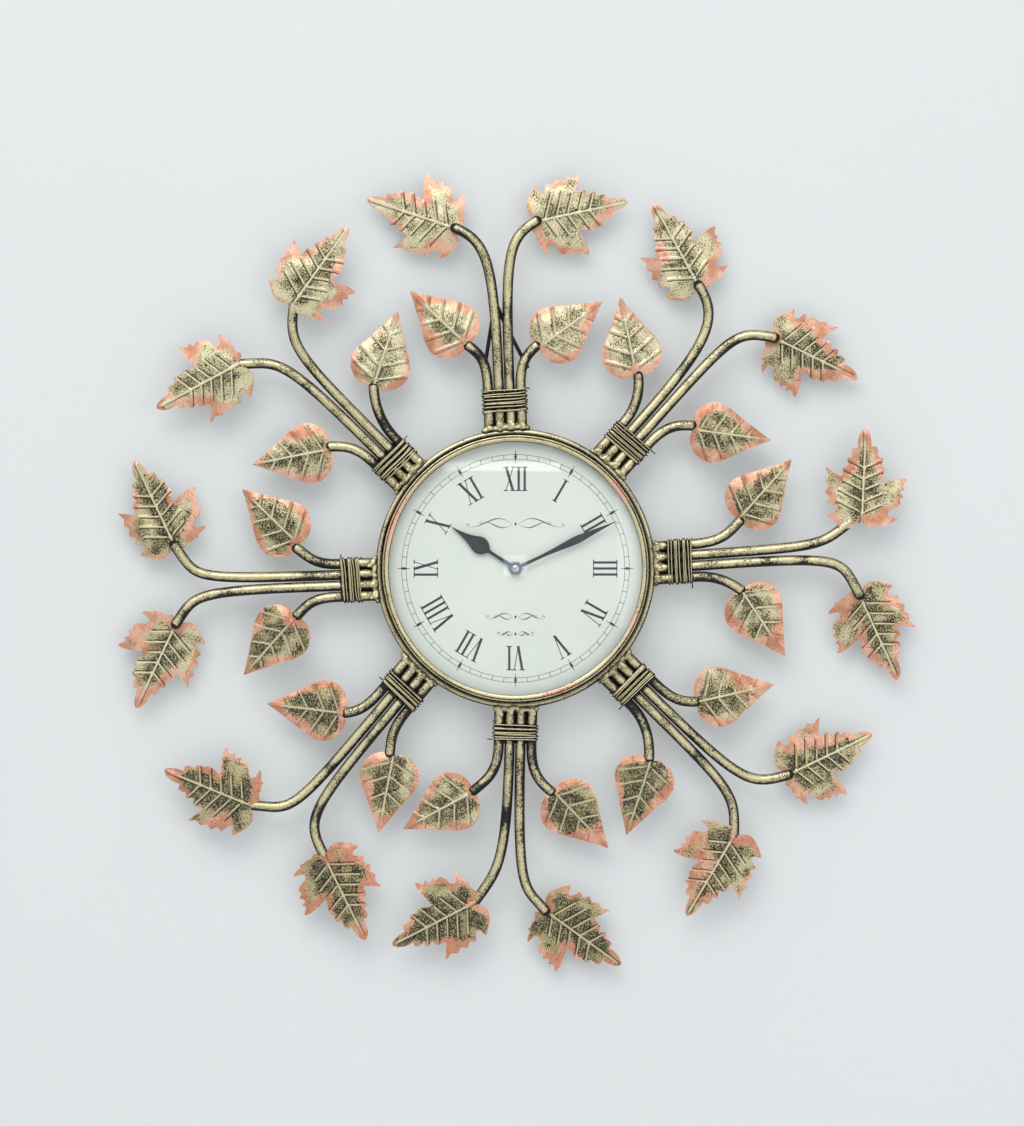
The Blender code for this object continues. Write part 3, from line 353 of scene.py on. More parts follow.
def leaf_paint(name):
    """Gold centre speckled black between raised veins, running out to airbrushed copper edges.

    The vein crests carry a painted highlight, their root side a painted shadow line, and the lower leaves
    painted shade.
    """
    paint = Paint(name)
    keys = ("copper", "dark", "ridge", "shade", "back", "age")
    copper, dark, ridge, shade, back, age = (paint.attribute(key) for key in keys)
    cloudy = paint.noise(8.0, 3.0, 0.6) - 0.5
    fine = paint.noise(0.90, 2.0, 0.65)
    spray = paint.noise(1.1, 1.0)
    copper = paint.ramp(copper + cloudy * 0.5 + (spray - 0.5) * 0.9, 0.10, 0.95)
    # The leaf's level deepens its gold and copper and dims its vein crests: painted shade on lower leaves,
    # and a tone by chance.
    pale = dark + paint.noise(16.0, 2.0) + age * 0.4
    gold = paint.mix(paint.ramp(pale, 1.0, 2.0, 0.62, 0.0), GOLD, PALE_GOLD_HIGHLIGHT)
    gold = paint.mix(paint.ramp(age, 0.9, 2.1, 0.0, 0.40), gold, GOLD_SHADE)
    rosy = paint.noise(14.0, 3.0) - age * 0.10
    rose = paint.mix(paint.ramp(rosy, 0.26, 0.52), COPPER, COPPER_PALE)
    weight = dark * paint.ramp(copper, 0.0, 1.0, 1.0, 0.25)
    cover = paint.math("MINIMUM", weight * 0.18, 0.205)
    specks = paint.ramp(fine + cover + cloudy * weight * 0.14, 0.62, 0.69)
    # Painted shadow lines beside the veins, on their side towards the root.
    line = paint.ramp(shade + (fine - 0.5) * 0.7, 0.30, 0.80)
    # The vein crests are painted paler: a painted highlight, pale copper where the edge is copper.
    crest_highlight = paint.mix(copper, paint.mix(paint.ramp(age, 0.8, 2.1, 0.0, 0.7), PALE_GOLD_HIGHLIGHT, GOLD), rose)
    colour = paint.mix(copper, gold, rose)
    colour = paint.mix(specks * 0.97, colour, BLACK)
    colour = paint.mix(line * 0.88, colour, VEIN_SHADE)
    colour = paint.mix(paint.ramp(ridge, 0.35, 0.75, 0.0, 0.95), colour, crest_highlight)
    colour = paint.mix(back, colour, paint.mix(specks, LEAF_REAR, BLACK))
    bare = paint.ramp(specks, 0.0, 1.0, 1.0, 0.0)
    paint.set(Base_Color=colour, Specular_IOR_Level=0.25, Metallic=bare * 0.5,
              Roughness=paint.ramp(bare, 0.0, 1.0, 0.60, 0.36))
    return paint.bump(fine + specks, 0.35, 0.10).material


def coat(name, shades, clouds, edge, grain, shine, bump, metallic=0.0):
    """A finish in two shades that run into one another, with a fine grain in its shine and its surface.

    clouds and grain are noises, edge is the clouds' step, shine the roughness from and to."""
    paint = Paint(name)
    field = paint.noise(*grain)
    paint.set(Base_Color=paint.mix(paint.ramp(paint.noise(*clouds), *edge), *shades), Metallic=metallic,
              Roughness=paint.ramp(field, 0.3, 0.7, *shine))
    return paint.bump(field, *bump).material


def plain_metal(name, colour, metallic, roughness, grain=0.8, stretch=(1.0, 1.0, 1.0), bump=0.15):
    darker = tuple(channel * 0.72 for channel in colour)
    return coat(name, (darker, colour), (12.0, 2.0), (0.35, 0.70), (grain, 3.0, 0.6, stretch),
                (roughness * 0.8, min(1.0, roughness * 1.25)), (bump, 0.05), metallic)


def moulded_plastic(name, colour, roughness):
    lighter = tuple(min(1.0, channel * 1.25 + 0.004) for channel in colour)
    return coat(name, (colour, lighter), (20.0, 2.0), (0.3, 0.7), (0.35, 2.0),
                (roughness * 0.85, min(1.0, roughness * 1.15)), (0.25, 0.04))


def dial_paint(name):
    return coat(name, ((0.82, 0.862, 0.812), (0.85, 0.888, 0.84)), (60.0, 1.0), (0.35, 0.65), (0.5, 3.0),
                (0.48, 0.62), (0.08, 0.03))


def ink(name):
    paint = Paint(name)
    density = paint.ramp(paint.noise(1.4, 2.0), 0.3, 0.7)
    paint.set(Base_Color=paint.mix(density, (0.024, 0.029, 0.038), (0.052, 0.060, 0.074)),
              Roughness=paint.ramp(density, 0.0, 1.0, 0.42, 0.55))
    return paint.material


def hand_paint(name):
    """Dark slate lacquer, with a painted steel-blue reflection near the hand's centre."""
    paint = Paint(name)
    orange = paint.noise(0.8, 2.0)
    cloud = paint.ramp(paint.noise(10.0, 2.0), 0.35, 0.65)
    slate = paint.mix(cloud, (0.034, 0.042, 0.052), (0.050, 0.060, 0.072))
    paint.set(Base_Color=paint.mix(paint.attribute("hub"), slate, (0.060, 0.095, 0.19)), Metallic=0.35,
              Roughness=paint.ramp(orange, 0.3, 0.7, 0.30, 0.42))
    return paint.bump(orange, 0.10, 0.04).material


def clear_glass(name):
    """Thin clear glass: see-through face on, glossy at a slant."""
    paint = Paint(name)
    clear = paint.node("ShaderNodeBsdfTransparent", 0, Color=(0.985, 0.992, 0.987))
    smear = paint.ramp(paint.noise(30.0, 2.0), 0.3, 0.7, 0.015, 0.05)
    gloss = paint.node("ShaderNodeBsdfGlossy", 0, Roughness=smear)
    mirror = paint.node("ShaderNodeLayerWeight", "Facing") ** 5.0 * 0.9 + 0.035
    paint.tree.nodes.remove(paint.shader)
    return paint.blend_shaders(mirror, clear, gloss)


MATERIALS = {
    "gilt": gilt("gilt_dry_brush", 0.70, 0.16, 1.3),
    "hoop": gilt("gilt_hoop", 0.66, 0.14, 1.0, 1.0),
    "bezel": gilt("gilt_bezel", 0.54, 0.16, 0.7, 0.75),
    "weld": gilt("gilt_weld", 0.62, 0.16),
    "wire": gilt("gilt_binding_wire", 0.58, 0.14, 0.2, 1.0),
    "leaf": leaf_paint("leaf_copper_gold"),
    "iron": plain_metal("black_iron_wire", (0.022, 0.022, 0.023), 0.6, 0.45),
    "case": plain_metal("black_case_enamel", (0.018, 0.018, 0.019), 0.2, 0.42, 0.5),
    "dial": dial_paint("dial_card"),
    "ink": ink("dial_ink"),
    "hand": hand_paint("hand_slate"),
    "glass": clear_glass("dome_glass"),
    "nickel": plain_metal("nickel_plate", (0.72, 0.69, 0.62), 1.0, 0.22, 0.4),
    "brass": plain_metal("turned_brass", (0.68, 0.50, 0.22), 1.0, 0.30, 0.4),
    "plastic": moulded_plastic("black_moulding", (0.026, 0.026, 0.028), 0.44),
    "knob": moulded_plastic("grey_knob", (0.10, 0.10, 0.105), 0.40),
    "nylon": moulded_plastic("white_nylon", (0.78, 0.78, 0.74), 0.45),
    "sleeve": plain_metal("cell_sleeve", (0.05, 0.055, 0.065), 0.4, 0.30, 0.6),
    "board": moulded_plastic("green_board", (0.02, 0.14, 0.06), 0.35),
    "copper_coil": plain_metal("coil_winding", (0.62, 0.24, 0.10), 0.8, 0.35, 0.3, (8.0, 1.0, 1.0), 0.5),
    "magnet": plain_metal("sintered_magnet", (0.12, 0.12, 0.125), 0.8, 0.5, 0.4),
}


# ---- mesh tools ----

def add_object(name, data):
    obj = bpy.data.objects.new(name, data)
    bpy.context.scene.collection.objects.link(obj)
    return obj


def store(mesh, key, values):
    """Keeps a number at each point of a mesh, for its material to read."""
    layer = mesh.attributes.new(key, "FLOAT", "POINT")
    layer.data.foreach_set("value", np.broadcast_to(values, len(mesh.vertices)).astype(np.float32))


def piece(name, verts, faces, material, slot, body="frame", replaces=(), smooth=True, **attributes):
    """A visible piece, in millimetres, that rides on a body."""
    mesh = bpy.data.meshes.new(name)
    points = np.asarray(verts, float) * MM
    mesh.from_pydata(points.tolist(), [], [list(face) for face in faces])
    mesh.validate()
    if smooth:
        mesh.shade_smooth()
    for key, values in attributes.items():
        store(mesh, key, values)
    mesh.materials.append(MATERIALS[material])
    obj = add_object(name, mesh)
    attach(obj, body)
    if replaces:
        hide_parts(*replaces)
    return obj


def solid(*arguments, sharp=None, **options):
    """A closed piece with its faces turned outward.  Edges over the sharp angle, in degrees, stay crisp."""
    obj = piece(*arguments, **options)
    bm = bmesh.new()
    bm.from_mesh(obj.data)
    bmesh.ops.recalc_face_normals(bm, faces=bm.faces)
    bm.to_mesh(obj.data)
    bm.free()
    if sharp:
        obj.data.set_sharp_from_angle(angle=math.radians(sharp))
    return obj


# The side the gold was brushed on from, which is also where the light comes from: the front, and a little
# from above and the left, so that faces turned down and to the right take painted shade.
BRUSH_AND_LIGHT = Vector((-0.13, -1.0, 0.24)).normalized()


def set_front(obj, soot_and_shade=0.0, blush=0.0):
    """Stores how squarely each point faces the brush and the light, which gives painted shade and
    highlights, and where the black paint, the painted shade and the copper lie.
    """
    mesh = obj.data
    normals = np.zeros(len(mesh.vertices) * 3, np.float32)
    mesh.vertices.foreach_get("normal", normals)
    store(mesh, "front", np.abs(normals.reshape(-1, 3) @ np.array(BRUSH_AND_LIGHT)))
    store(mesh, "soot_and_shade", soot_and_shade)
    store(mesh, "blush", blush)


def obj_points(obj):
    """A piece's points as seen from the front, in millimetres."""
    points = np.zeros(len(obj.data.vertices) * 3)
    obj.data.vertices.foreach_get("co", points)
    return points.reshape(-1, 3)[:, [0, 2]] / MM


def unit(degrees):
    return np.array([math.cos(math.radians(degrees)), math.sin(math.radians(degrees))])


def turned(direction):
    """The direction a quarter turn to the left."""
    return np.array([-direction[1], direction[0]])


def line_frame(start, end):
    """A line's start, length, direction and the direction to its left."""
    start, end = np.asarray(start, float), np.asarray(end, float)
    length = np.linalg.norm(end - start)
    along = (end - start) / length
    return start, length, along, turned(along)


def smooth_step(value, low, high):
    """Rises from 0 at low to 1 at high."""
    share = np.clip((np.asarray(value, float) - low) / (high - low), 0, 1)
    return share * share * (3 - 2 * share)


def tube(path, radii, sides):
    """Points and faces of a round bar along a path of 3-D points that doesn't set out along Y; flat ends."""
    path = np.asarray(path, float)
    along = np.gradient(path, axis=0)
    along /= np.linalg.norm(along, axis=1)[:, None]
    normal = np.cross(along[0], (0, 1, 0))
    angles = 2 * math.pi * np.arange(sides) / sides
    verts = []
    for index, point in enumerate(path):
        normal = normal - along[index] * normal.dot(along[index])
        normal /= np.linalg.norm(normal)
        other = np.cross(along[index], normal)
        ring = np.outer(np.cos(angles), normal) + np.outer(np.sin(angles), other)
        verts.append(point + ring * radii[index])
    faces = []
    for low in range(0, (len(path) - 1) * sides, sides):
        for side in range(sides):
            after = (side + 1) % sides
            faces.append((low + side, low + after, low + sides + after, low + sides + side))
    faces.append(tuple(reversed(range(sides))))
    last = (len(path) - 1) * sides
    faces.append(tuple(range(last, last + sides)))
    return np.concatenate(verts), faces


def round_tip(path, radii, steps=5):
    """Extends a bar by a domed end."""
    path, radii = list(path), list(radii)
    end, radius = np.asarray(path[-1], float), radii[-1]
    along = end - np.asarray(path[-2], float)
    along /= np.linalg.norm(along)
    for step in range(1, steps + 1):
        angle = math.pi / 2 * step / (steps + 0.35)
        path.append(end + along * radius * math.sin(angle))
        radii.append(radius * math.cos(angle))
    return path, radii


def lathe(profile, sides):
    """Points and faces of a closed profile of (radius, depth) turned about the clock's axis."""
    verts, rings, faces = [], [], []
    for radius, depth in profile:
        ring = circle(radius, sides if radius else 1)
        rings.append(range(len(verts), len(verts) + len(ring)))
        verts += [(x, -depth, z) for x, z in ring]
    for ring, after in zip(rings, rings[1:] + rings[:1]):
        if len(ring) == 1 and len(after) == 1:
            continue
        for index in range(sides):
            step = (index + 1) % sides
            corners = [ring[index % len(ring)], after[index % len(after)],
                       after[step % len(after)], ring[step % len(ring)]]
            faces.append(tuple(dict.fromkeys(corners)))
    return verts, faces


def prism(outline, holes, rear, front):
    """Points and faces of a flat plate with holes."""
    loops = [list(outline), *[list(hole) for hole in holes]]
    flat = [point for loop in loops for point in loop]
    count = len(flat)
    verts = [(x, -rear, z) for x, z in flat] + [(x, -front, z) for x, z in flat]
    faces = []
    for corners in tessellate_polygon([[Vector((x, z, 0)) for x, z in loop] for loop in loops]):
        faces.append(tuple(corners))
        faces.append(tuple(count + index for index in reversed(corners)))
    start = 0
    for loop in loops:
        for index in range(len(loop)):
            first, second = start + index, start + (index + 1) % len(loop)
            faces.append((first, second, second + count, first + count))
        start += len(loop)
    return verts, faces


def add_modifier(obj, kind, **settings):
    modifier = obj.modifiers.new(kind.lower(), kind)
    for key, value in settings.items():
        setattr(modifier, key, value)
    return modifier


def circle(radius, sides, centre=(0.0, 0.0)):
    return [(centre[0] + radius * math.cos(2 * math.pi * index / sides),
             centre[1] + radius * math.sin(2 * math.pi * index / sides)) for index in range(sides)]


# ---- leaves ----

def distance_to_outline(points, outline):
    start = np.asarray(outline, float)
    step = np.roll(start, -1, axis=0) - start
    offset = points[:, None, :] - start[None]
    share = np.clip((offset * step).sum(2) / (step * step).sum(1), 0, 1)
    nearest = offset - share[..., None] * step
    return np.sqrt((nearest ** 2).sum(2)).min(1)


def is_inside(points, outline):
    start = np.asarray(outline, float)
    end = np.roll(start, -1, axis=0)
    x, y = points[:, 0][:, None], points[:, 1][:, None]
    crosses = (start[:, 1] > y) != (end[:, 1] > y)
    with np.errstate(divide="ignore", invalid="ignore"):
        where = start[:, 0] + (y - start[:, 1]) * (end[:, 0] - start[:, 0]) / (end[:, 1] - start[:, 1])
    return (crosses & (x < where)).sum(1) % 2 == 1


# The rows of points on and beside a vein, in vein widths, and the step of the points along them.
VEIN_ROWS = (0, 1, -1, 2, -2, 3.2, -3.2)
VEIN_STEP = 1.5


def sheet_grid(outline, spacing, veins, width):
    """A triangle mesh that fills an outline, with rows of points along each vein."""
    border = []
    for (x0, y0), (x1, y1) in zip(outline, outline[1:] + outline[:1]):
        steps = max(1, round(math.hypot(x1 - x0, y1 - y0) / (1.2 * spacing)))
        border += [(x0 + (x1 - x0) * step / steps, y0 + (y1 - y0) * step / steps) for step in range(steps)]
    points = np.asarray(border)

    def add(extra, clearance):
        extra = extra[is_inside(extra, border)]
        extra = extra[distance_to_outline(extra, border) > 0.45 * spacing]
        gaps = np.sqrt(((extra[:, None, :] - points[None]) ** 2).sum(2)).min(1)
        return np.concatenate([points, extra[gaps > clearance]])

    for vein in veins:
        start, length, along, across = line_frame(*vein)
        steps = np.arange(-0.5, length + 1.0, VEIN_STEP)
        for row in VEIN_ROWS:
            points = add(start + steps[:, None] * along + row * width * across, 0.62 * width)
    low, high = points.min(0), points.max(0)
    rows = np.arange(low[0], high[0], spacing)
    columns = np.arange(low[1], high[1], spacing * 0.9)
    grid = np.array([(x + (spacing / 2 if index % 2 else 0), y)
                     for index, y in enumerate(columns) for x in rows])
    points = add(grid, 0.8 * spacing)
    loop = [list(range(len(border)))]
    result = delaunay_2d_cdt([Vector(point) for point in points], [], loop, 1, 1e-4)
    return np.array([tuple(point) for point in result[0]]), [tuple(face) for face in result[2]], border


def vein_fields(points, veins, width):
    """How far each point is on a side vein's ridge, and in the shade on its side towards the leaf's root."""
    ridge, shade = np.zeros((2, len(points)))
    for vein in veins:
        start, length, along, rootward = line_frame(*vein)
        if rootward[0] > 0:
            rootward = -rootward
        travel = (points - start) @ along
        across = (points - start) @ rootward
        body = smooth_step(travel, -0.8, 1.0) * (1 - smooth_step(travel, length - 1.2, length + 0.6))
        ridge = np.maximum(ridge, body * np.exp(-(across / width) ** 2))
        shade = np.maximum(shade, body * np.exp(-((across - 2.0 * width) / (0.85 * width)) ** 2))
    return ridge, shade


class Leaf:
    """One stamped leaf shape, in its own plane: a fine sheet with its veins and relief."""

    def __init__(self, outline, spacing, side_veins, rib_end, rib_width, vein_width):
        veins = [((0.0, 0.0), (rib_end, 0.0))] + side_veins
        self.points, self.faces, border = sheet_grid(outline, spacing, veins, vein_width)
        self.along, self.across = self.points.T
        self.edge = distance_to_outline(self.points, border)
        rib_body = 1 - smooth_step(self.along, rib_end - 3, rib_end)

        def band(middle, half_width):
            """A soft band along the rib, with its place and size in rib widths."""
            offset = self.across - middle * rib_width
            return rib_body * np.exp(-(offset / (half_width * rib_width)) ** 2)

        ridge, shade = vein_fields(self.points, side_veins, vein_width)
        rib = band(0.0, 1.0)
        clear_of_rib = 1 - np.exp(-(self.across / (1.4 * rib_width)) ** 4)
        shade = np.maximum(shade * clear_of_rib, band(2.0, 0.7))
        self.shade = np.maximum(shade, 0.7 * band(-2.0, 0.6)) * (1 - rib)
        self.ridge = np.maximum(ridge, rib)

    def clouds(self, scale, layer, seed):
        """Smooth noise over the leaf, of scale waves to the millimetre."""
        return np.array([noise.noise(Vector((x * scale, y * scale, layer)) + seed) for x, y in self.points])


class MapleLeaf(Leaf):
    """The lobed leaf: cupped and a little twisted, with copper lobes and tip."""
    # Relief of the veins, and the strength of the painted highlight on their crests and of the painted
    # shadow beside them.
    vein_height = 1.0
    vein_highlight = 1.0
    vein_shade = 1.0

    def __init__(self):
        veins = []
        for index, reaches in enumerate(MAPLE_VEIN_REACH):
            base = MAPLE_VEIN_FIRST + MAPLE_VEIN_PITCH * index
            veins += [((base, math.copysign(0.6, reach)), (base + MAPLE_VEIN_RISE * abs(reach), reach))
                      for reach in reaches]
        super().__init__(MAPLE, spacing=1.5, side_veins=veins, rib_end=70.5, rib_width=0.85, vein_width=0.72)

    def relief(self, rng):
        curl = rng.uniform(0.7, 1.3)
        cup = -0.0028 * curl * self.across ** 2 - 0.05 * np.abs(self.across)
        cup -= 0.0008 * rng.uniform(0.5, 1.8) * (self.along - 22) ** 2
        return cup + rng.uniform(-0.0006, 0.0006) * self.across * (self.along - 20)

    def copper_and_core(self, patchy, rng):
        """Where copper runs in from the edge and the lobes, and where the middle is darker."""
        reach = np.clip(3.2 + 14.0 * patchy + rng.uniform(-0.8, 1.0), 0.4, 12)
        far = np.hypot((self.along - 24) / 38, self.across / 21)
        copper = 1 - smooth_step(self.edge, 0.3 * reach, 1.7 * reach)
        copper = np.maximum(copper, smooth_step(far + 0.5 * patchy, 0.95, 1.35) * 0.9)
        core = np.exp(-(np.abs(self.across) / 13.0) ** 2.4)
        return copper, core * smooth_step(self.along, -2, 6) * (1 - smooth_step(self.along, 44, 62))


class HeartLeaf(Leaf):
    """The heart leaf: pressed up in the middle, with its tip bent back and copper."""
    # Relief of the veins, and the strength of the painted highlight on their crests and of the painted
    # shadow beside them.
    vein_height = 1.05
    vein_highlight = 0.85
    vein_shade = 0.70

    def __init__(self):
        outline = HEART + [(along, -out) for along, out in reversed(HEART[1:-1])]
        veins = [((base, 0.8 * side), (end, reach * side))
                 for base, end, reach in HEART_VEINS for side in (1, -1)]
        super().__init__(outline, spacing=1.6, side_veins=veins, rib_end=60.0, rib_width=1.1, vein_width=0.9)

    def relief(self, rng):
        edge_along, edge_out = np.array(HEART[3:]).T
        width = np.maximum(np.interp(self.along, edge_along, edge_out), 0.6)
        share = np.clip(np.abs(self.across) / width, 0, 1)
        travel = self.along / HEART[-1][0]
        crown = HEART_CROWN * np.sin(np.pi * np.clip(travel, 0, 1) ** 0.6)
        return crown * (1 - 0.72 * share - 0.28 * share ** 3) - 0.8 * rng.uniform(0.5, 1.5) * travel ** 2

    def copper_and_core(self, patchy, rng):
        """Where copper runs in from the edge and the tip, and where the middle is darker."""
        reach = np.clip(4.8 + 14.0 * patchy + rng.uniform(-1.5, 1.5), 0.8, 13)
        copper = 1 - smooth_step(self.edge, 0.35 * reach, 1.5 * reach)
        copper = np.maximum(copper, smooth_step(self.along, 44, 60) * 0.9)
        return copper, np.exp(-(np.abs(self.across) / 11.0) ** 2.4) * (1 - smooth_step(self.along, 26, 56))


LEAVES = {"maple": MapleLeaf(), "heart": HeartLeaf()}


def build_leaf(name, kind, root, heading, front, level, rng):
    """A leaf in its place, with where each paint lies on it; level is how dark it is painted, as painted
    shade on the lower leaves and a tone by chance.
    """
    leaf = LEAVES[kind]
    height = leaf.relief(rng)
    seed = Vector((rng.uniform(0, 100), rng.uniform(0, 100), 0))
    height = height + leaf.vein_height * leaf.ridge - 0.35 * leaf.shade + 0.55 * leaf.clouds(0.09, 0.0, seed)
    direction = unit(heading)
    flat = np.asarray(root) + leaf.along[:, None] * direction + leaf.across[:, None] * turned(direction)
    verts = np.column_stack([flat[:, 0], -(front + height), flat[:, 1]])
    copper, core = leaf.copper_and_core(leaf.clouds(0.045, 3.0, seed), rng)
    blotch = leaf.clouds(0.10, 9.0, seed)
    # The speckle grows denser with the level: painted shade on the lower leaves.
    dark = np.clip(0.50 + 0.60 * core + 0.9 * blotch, 0.25, 1.3) * (0.32 + 0.58 * level)
    # The ridge and shade attributes carry the painted highlight on the vein crests and the painted shadow
    # beside them.
    obj = piece(name, verts, leaf.faces, "leaf", "gilt_and_copper_steel", copper=copper, dark=dark,
                ridge=leaf.ridge * leaf.vein_highlight, shade=leaf.shade * leaf.vein_shade, back=0.0, age=level)
    thicken(obj)
    return obj


def thicken(obj):
    """Gives a sheet its thickness, and marks the points of its rear."""
    bm = bmesh.new()
    bm.from_mesh(obj.data)
    marks = bm.verts.layers.float["back"]
    sheet = list(bm.verts)
    rim = [edge for edge in bm.edges if edge.is_boundary]
    rear = {}
    for vert in sheet:
        twin = bm.verts.new(vert.co - vert.normal * SHEET * MM)
        for layer in bm.verts.layers.float.values():
            twin[layer] = vert[layer]
        twin[marks] = 1.0
        rear[vert] = twin
    for face in list(bm.faces):
        bm.faces.new([rear[vert] for vert in reversed(face.verts)])
    for edge in rim:
        loop = edge.link_loops[0]
        first, second = loop.vert, loop.link_loop_next.vert
        bm.faces.new([second, first, rear[first], rear[second]])
    for face in bm.faces:
        face.smooth = True
    bm.to_mesh(obj.data)
    bm.free()
    obj.data.set_sharp_from_angle(angle=math.radians(50))


# ---- rods ----

# The distance from the clock's middle that the rods keep outside of.
HOOP_REACH = HOOP_RADIUS + HOOP_WIRE + ROD_GAP_AT_HOOP


def rod_offset(index):
    """How far to the left of its spray's middle a rod lies."""
    return (1.5 - index) * ROD_PITCH


def rod_start(centre, heading, offset):
    """Where a rod begins, so that its whole end clears the hoop."""
    along = unit(heading)
    left = turned(along)
    distances = []
    for edge in (offset - ROD_RADIUS, offset, offset + ROD_RADIUS):
        base = np.asarray(centre) + left * edge
        across = base.dot(along)
        distances.append(across - math.sqrt(across * across - base.dot(base) + HOOP_REACH * HOOP_REACH))
    return np.asarray(centre) + left * offset - along * min(distances)


def rod_path(centre, heading, offset, root, end_heading, share_out, share_in):
    """A rod's middle line: straight from the hoop through the binding, then one Bezier bend to its leaf."""
    along = unit(heading)
    leave = np.asarray(centre) + turned(along) * offset + along * WRAP_HALF_LENGTH
    root = np.asarray(root, float)
    chord = np.linalg.norm(root - leave)
    start = rod_start(centre, heading, offset)
    path = [start + (leave - start) * share for share in (0, 0.2, 0.4, 0.6, 0.8)]
    handles = (leave, leave + along * chord * share_out, root - unit(end_heading) * chord * share_in, root)
    for step in range(BEND_STEPS + 1):
        t = step / BEND_STEPS
        weights = ((1 - t) ** 3, 3 * t * (1 - t) ** 2, 3 * t * t * (1 - t), t ** 3)
        path.append(sum(weight * point for weight, point in zip(weights, handles)))
    return np.array(path)


def build_rod(path, wrapped, rng):
    """A rod with its rounded tip, and the black along it; it stays black over the wrapped stretch, as
    painted shade between the binding's turns.
    """
    path = np.column_stack([path[:, 0], np.full(len(path), -ROD_DEPTH), path[:, 1]])
    travel = np.concatenate([[0], np.cumsum(np.linalg.norm(np.diff(path, axis=0), axis=1))])
    seed = rng.uniform(0, 500)
    uneven = [noise.noise(Vector((seed + distance * 0.08, 0, 0))) for distance in travel]
    points, radii = round_tip(path, [ROD_RADIUS * (1 + 0.02 * swell) for swell in uneven])
    verts, faces = tube(points, radii, ROD_SIDES)
    total = travel[-1]
    past_tip = np.full(len(points) - len(travel), total + 2)
    distance = np.repeat(np.concatenate([travel, past_tip]), ROD_SIDES)
    first, last = wrapped
    # Black at the tip, black under the binding as painted shade between its turns, thinning out beyond it,
    # and then
    #     black in a few patches by chance.
    soot_and_shade = smooth_step(distance, total + 1.2, total + 2.6) * 0.7
    soot_and_shade += smooth_step(distance, first, first + 1) * (1 - smooth_step(distance, last, last + 2))
    soot_and_shade += 0.08 * (1 - smooth_step(distance, last, last + 14)) * (distance > last)
    for _ in range(rng.choice((1, 1, 2, 2, 3))):
        middle = rng.uniform(0.25, 0.95) * total
        half = rng.uniform(5, 15)
        soot_and_shade += rng.uniform(0.08, 0.28) * np.exp(-((distance - middle) / half) ** 2)
    return verts, faces, soot_and_shade


def shade_and_tone_level(root, rng):
    """How dark the leaf with this root is painted: painted shade that grows towards the foot, and a tone by
    chance.
    """
    height = root[1] / (CAD_BOUNDS[1].z / MM)
    return LEVEL_MIDDLE - SHADE_FALL * height + rng.uniform(-TONE_SPREAD, TONE_SPREAD)


def build_sprays():
    rng = random.Random(11)
    soot_rng = random.Random(4)
    for spray, centre, heading, turns, wrap_length, stems in SPRAYS:
        levels = [shade_and_tone_level(root, soot_rng) for root, *_ in stems]
        for index, (root, end_heading, leaf_heading, slip, *shares) in enumerate(stems):
            kind = STEM_KINDS[index]
            node = f"{spray}_{kind}_{index + 1}"
            path = rod_path(centre, heading, rod_offset(index), root, end_heading, *shares)
            reach = (np.asarray(centre) - path[0]) @ unit(heading)
            wrapped = (reach - wrap_length / 2 + SHADE_INSET_HOOP, reach + wrap_length / 2 - SHADE_INSET_LEAF)
            verts, faces, soot_and_shade = build_rod(path, wrapped, rng)
            # The rods of a lower spray share its leaves' painted shade.
            soot_and_shade += ROD_SHADE_SHARE * (np.mean(levels) - 1)
            rod = solid(node + "_rod", verts, faces, "gilt", "gilt_and_copper_steel", replaces=(node,))
            set_front(rod, soot_and_shade)
            front = HEART_FRONT
            if kind == "maple":
                front = MAPLE_OVER_FRONT if node in MAPLE_OVER else MAPLE_UNDER_FRONT
            place = np.asarray(root) + turned(unit(leaf_heading)) * slip
            leaf = build_leaf(node + "_leaf", kind, place, leaf_heading, front, levels[index], rng)
            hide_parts(node)
        build_wrap(spray, centre, heading, turns, wrap_length, rng)
        build_weld(spray, centre, heading, rng)


def superellipse(angle, half_width, half_depth):
    """A point of the rounded oblong that the wire follows round the rods."""
    cosine, sine = math.cos(angle), math.sin(angle)
    return (half_width * math.copysign(abs(cosine) ** WRAP_SQUARENESS, cosine),
            half_depth * math.copysign(abs(sine) ** WRAP_SQUARENESS, sine))


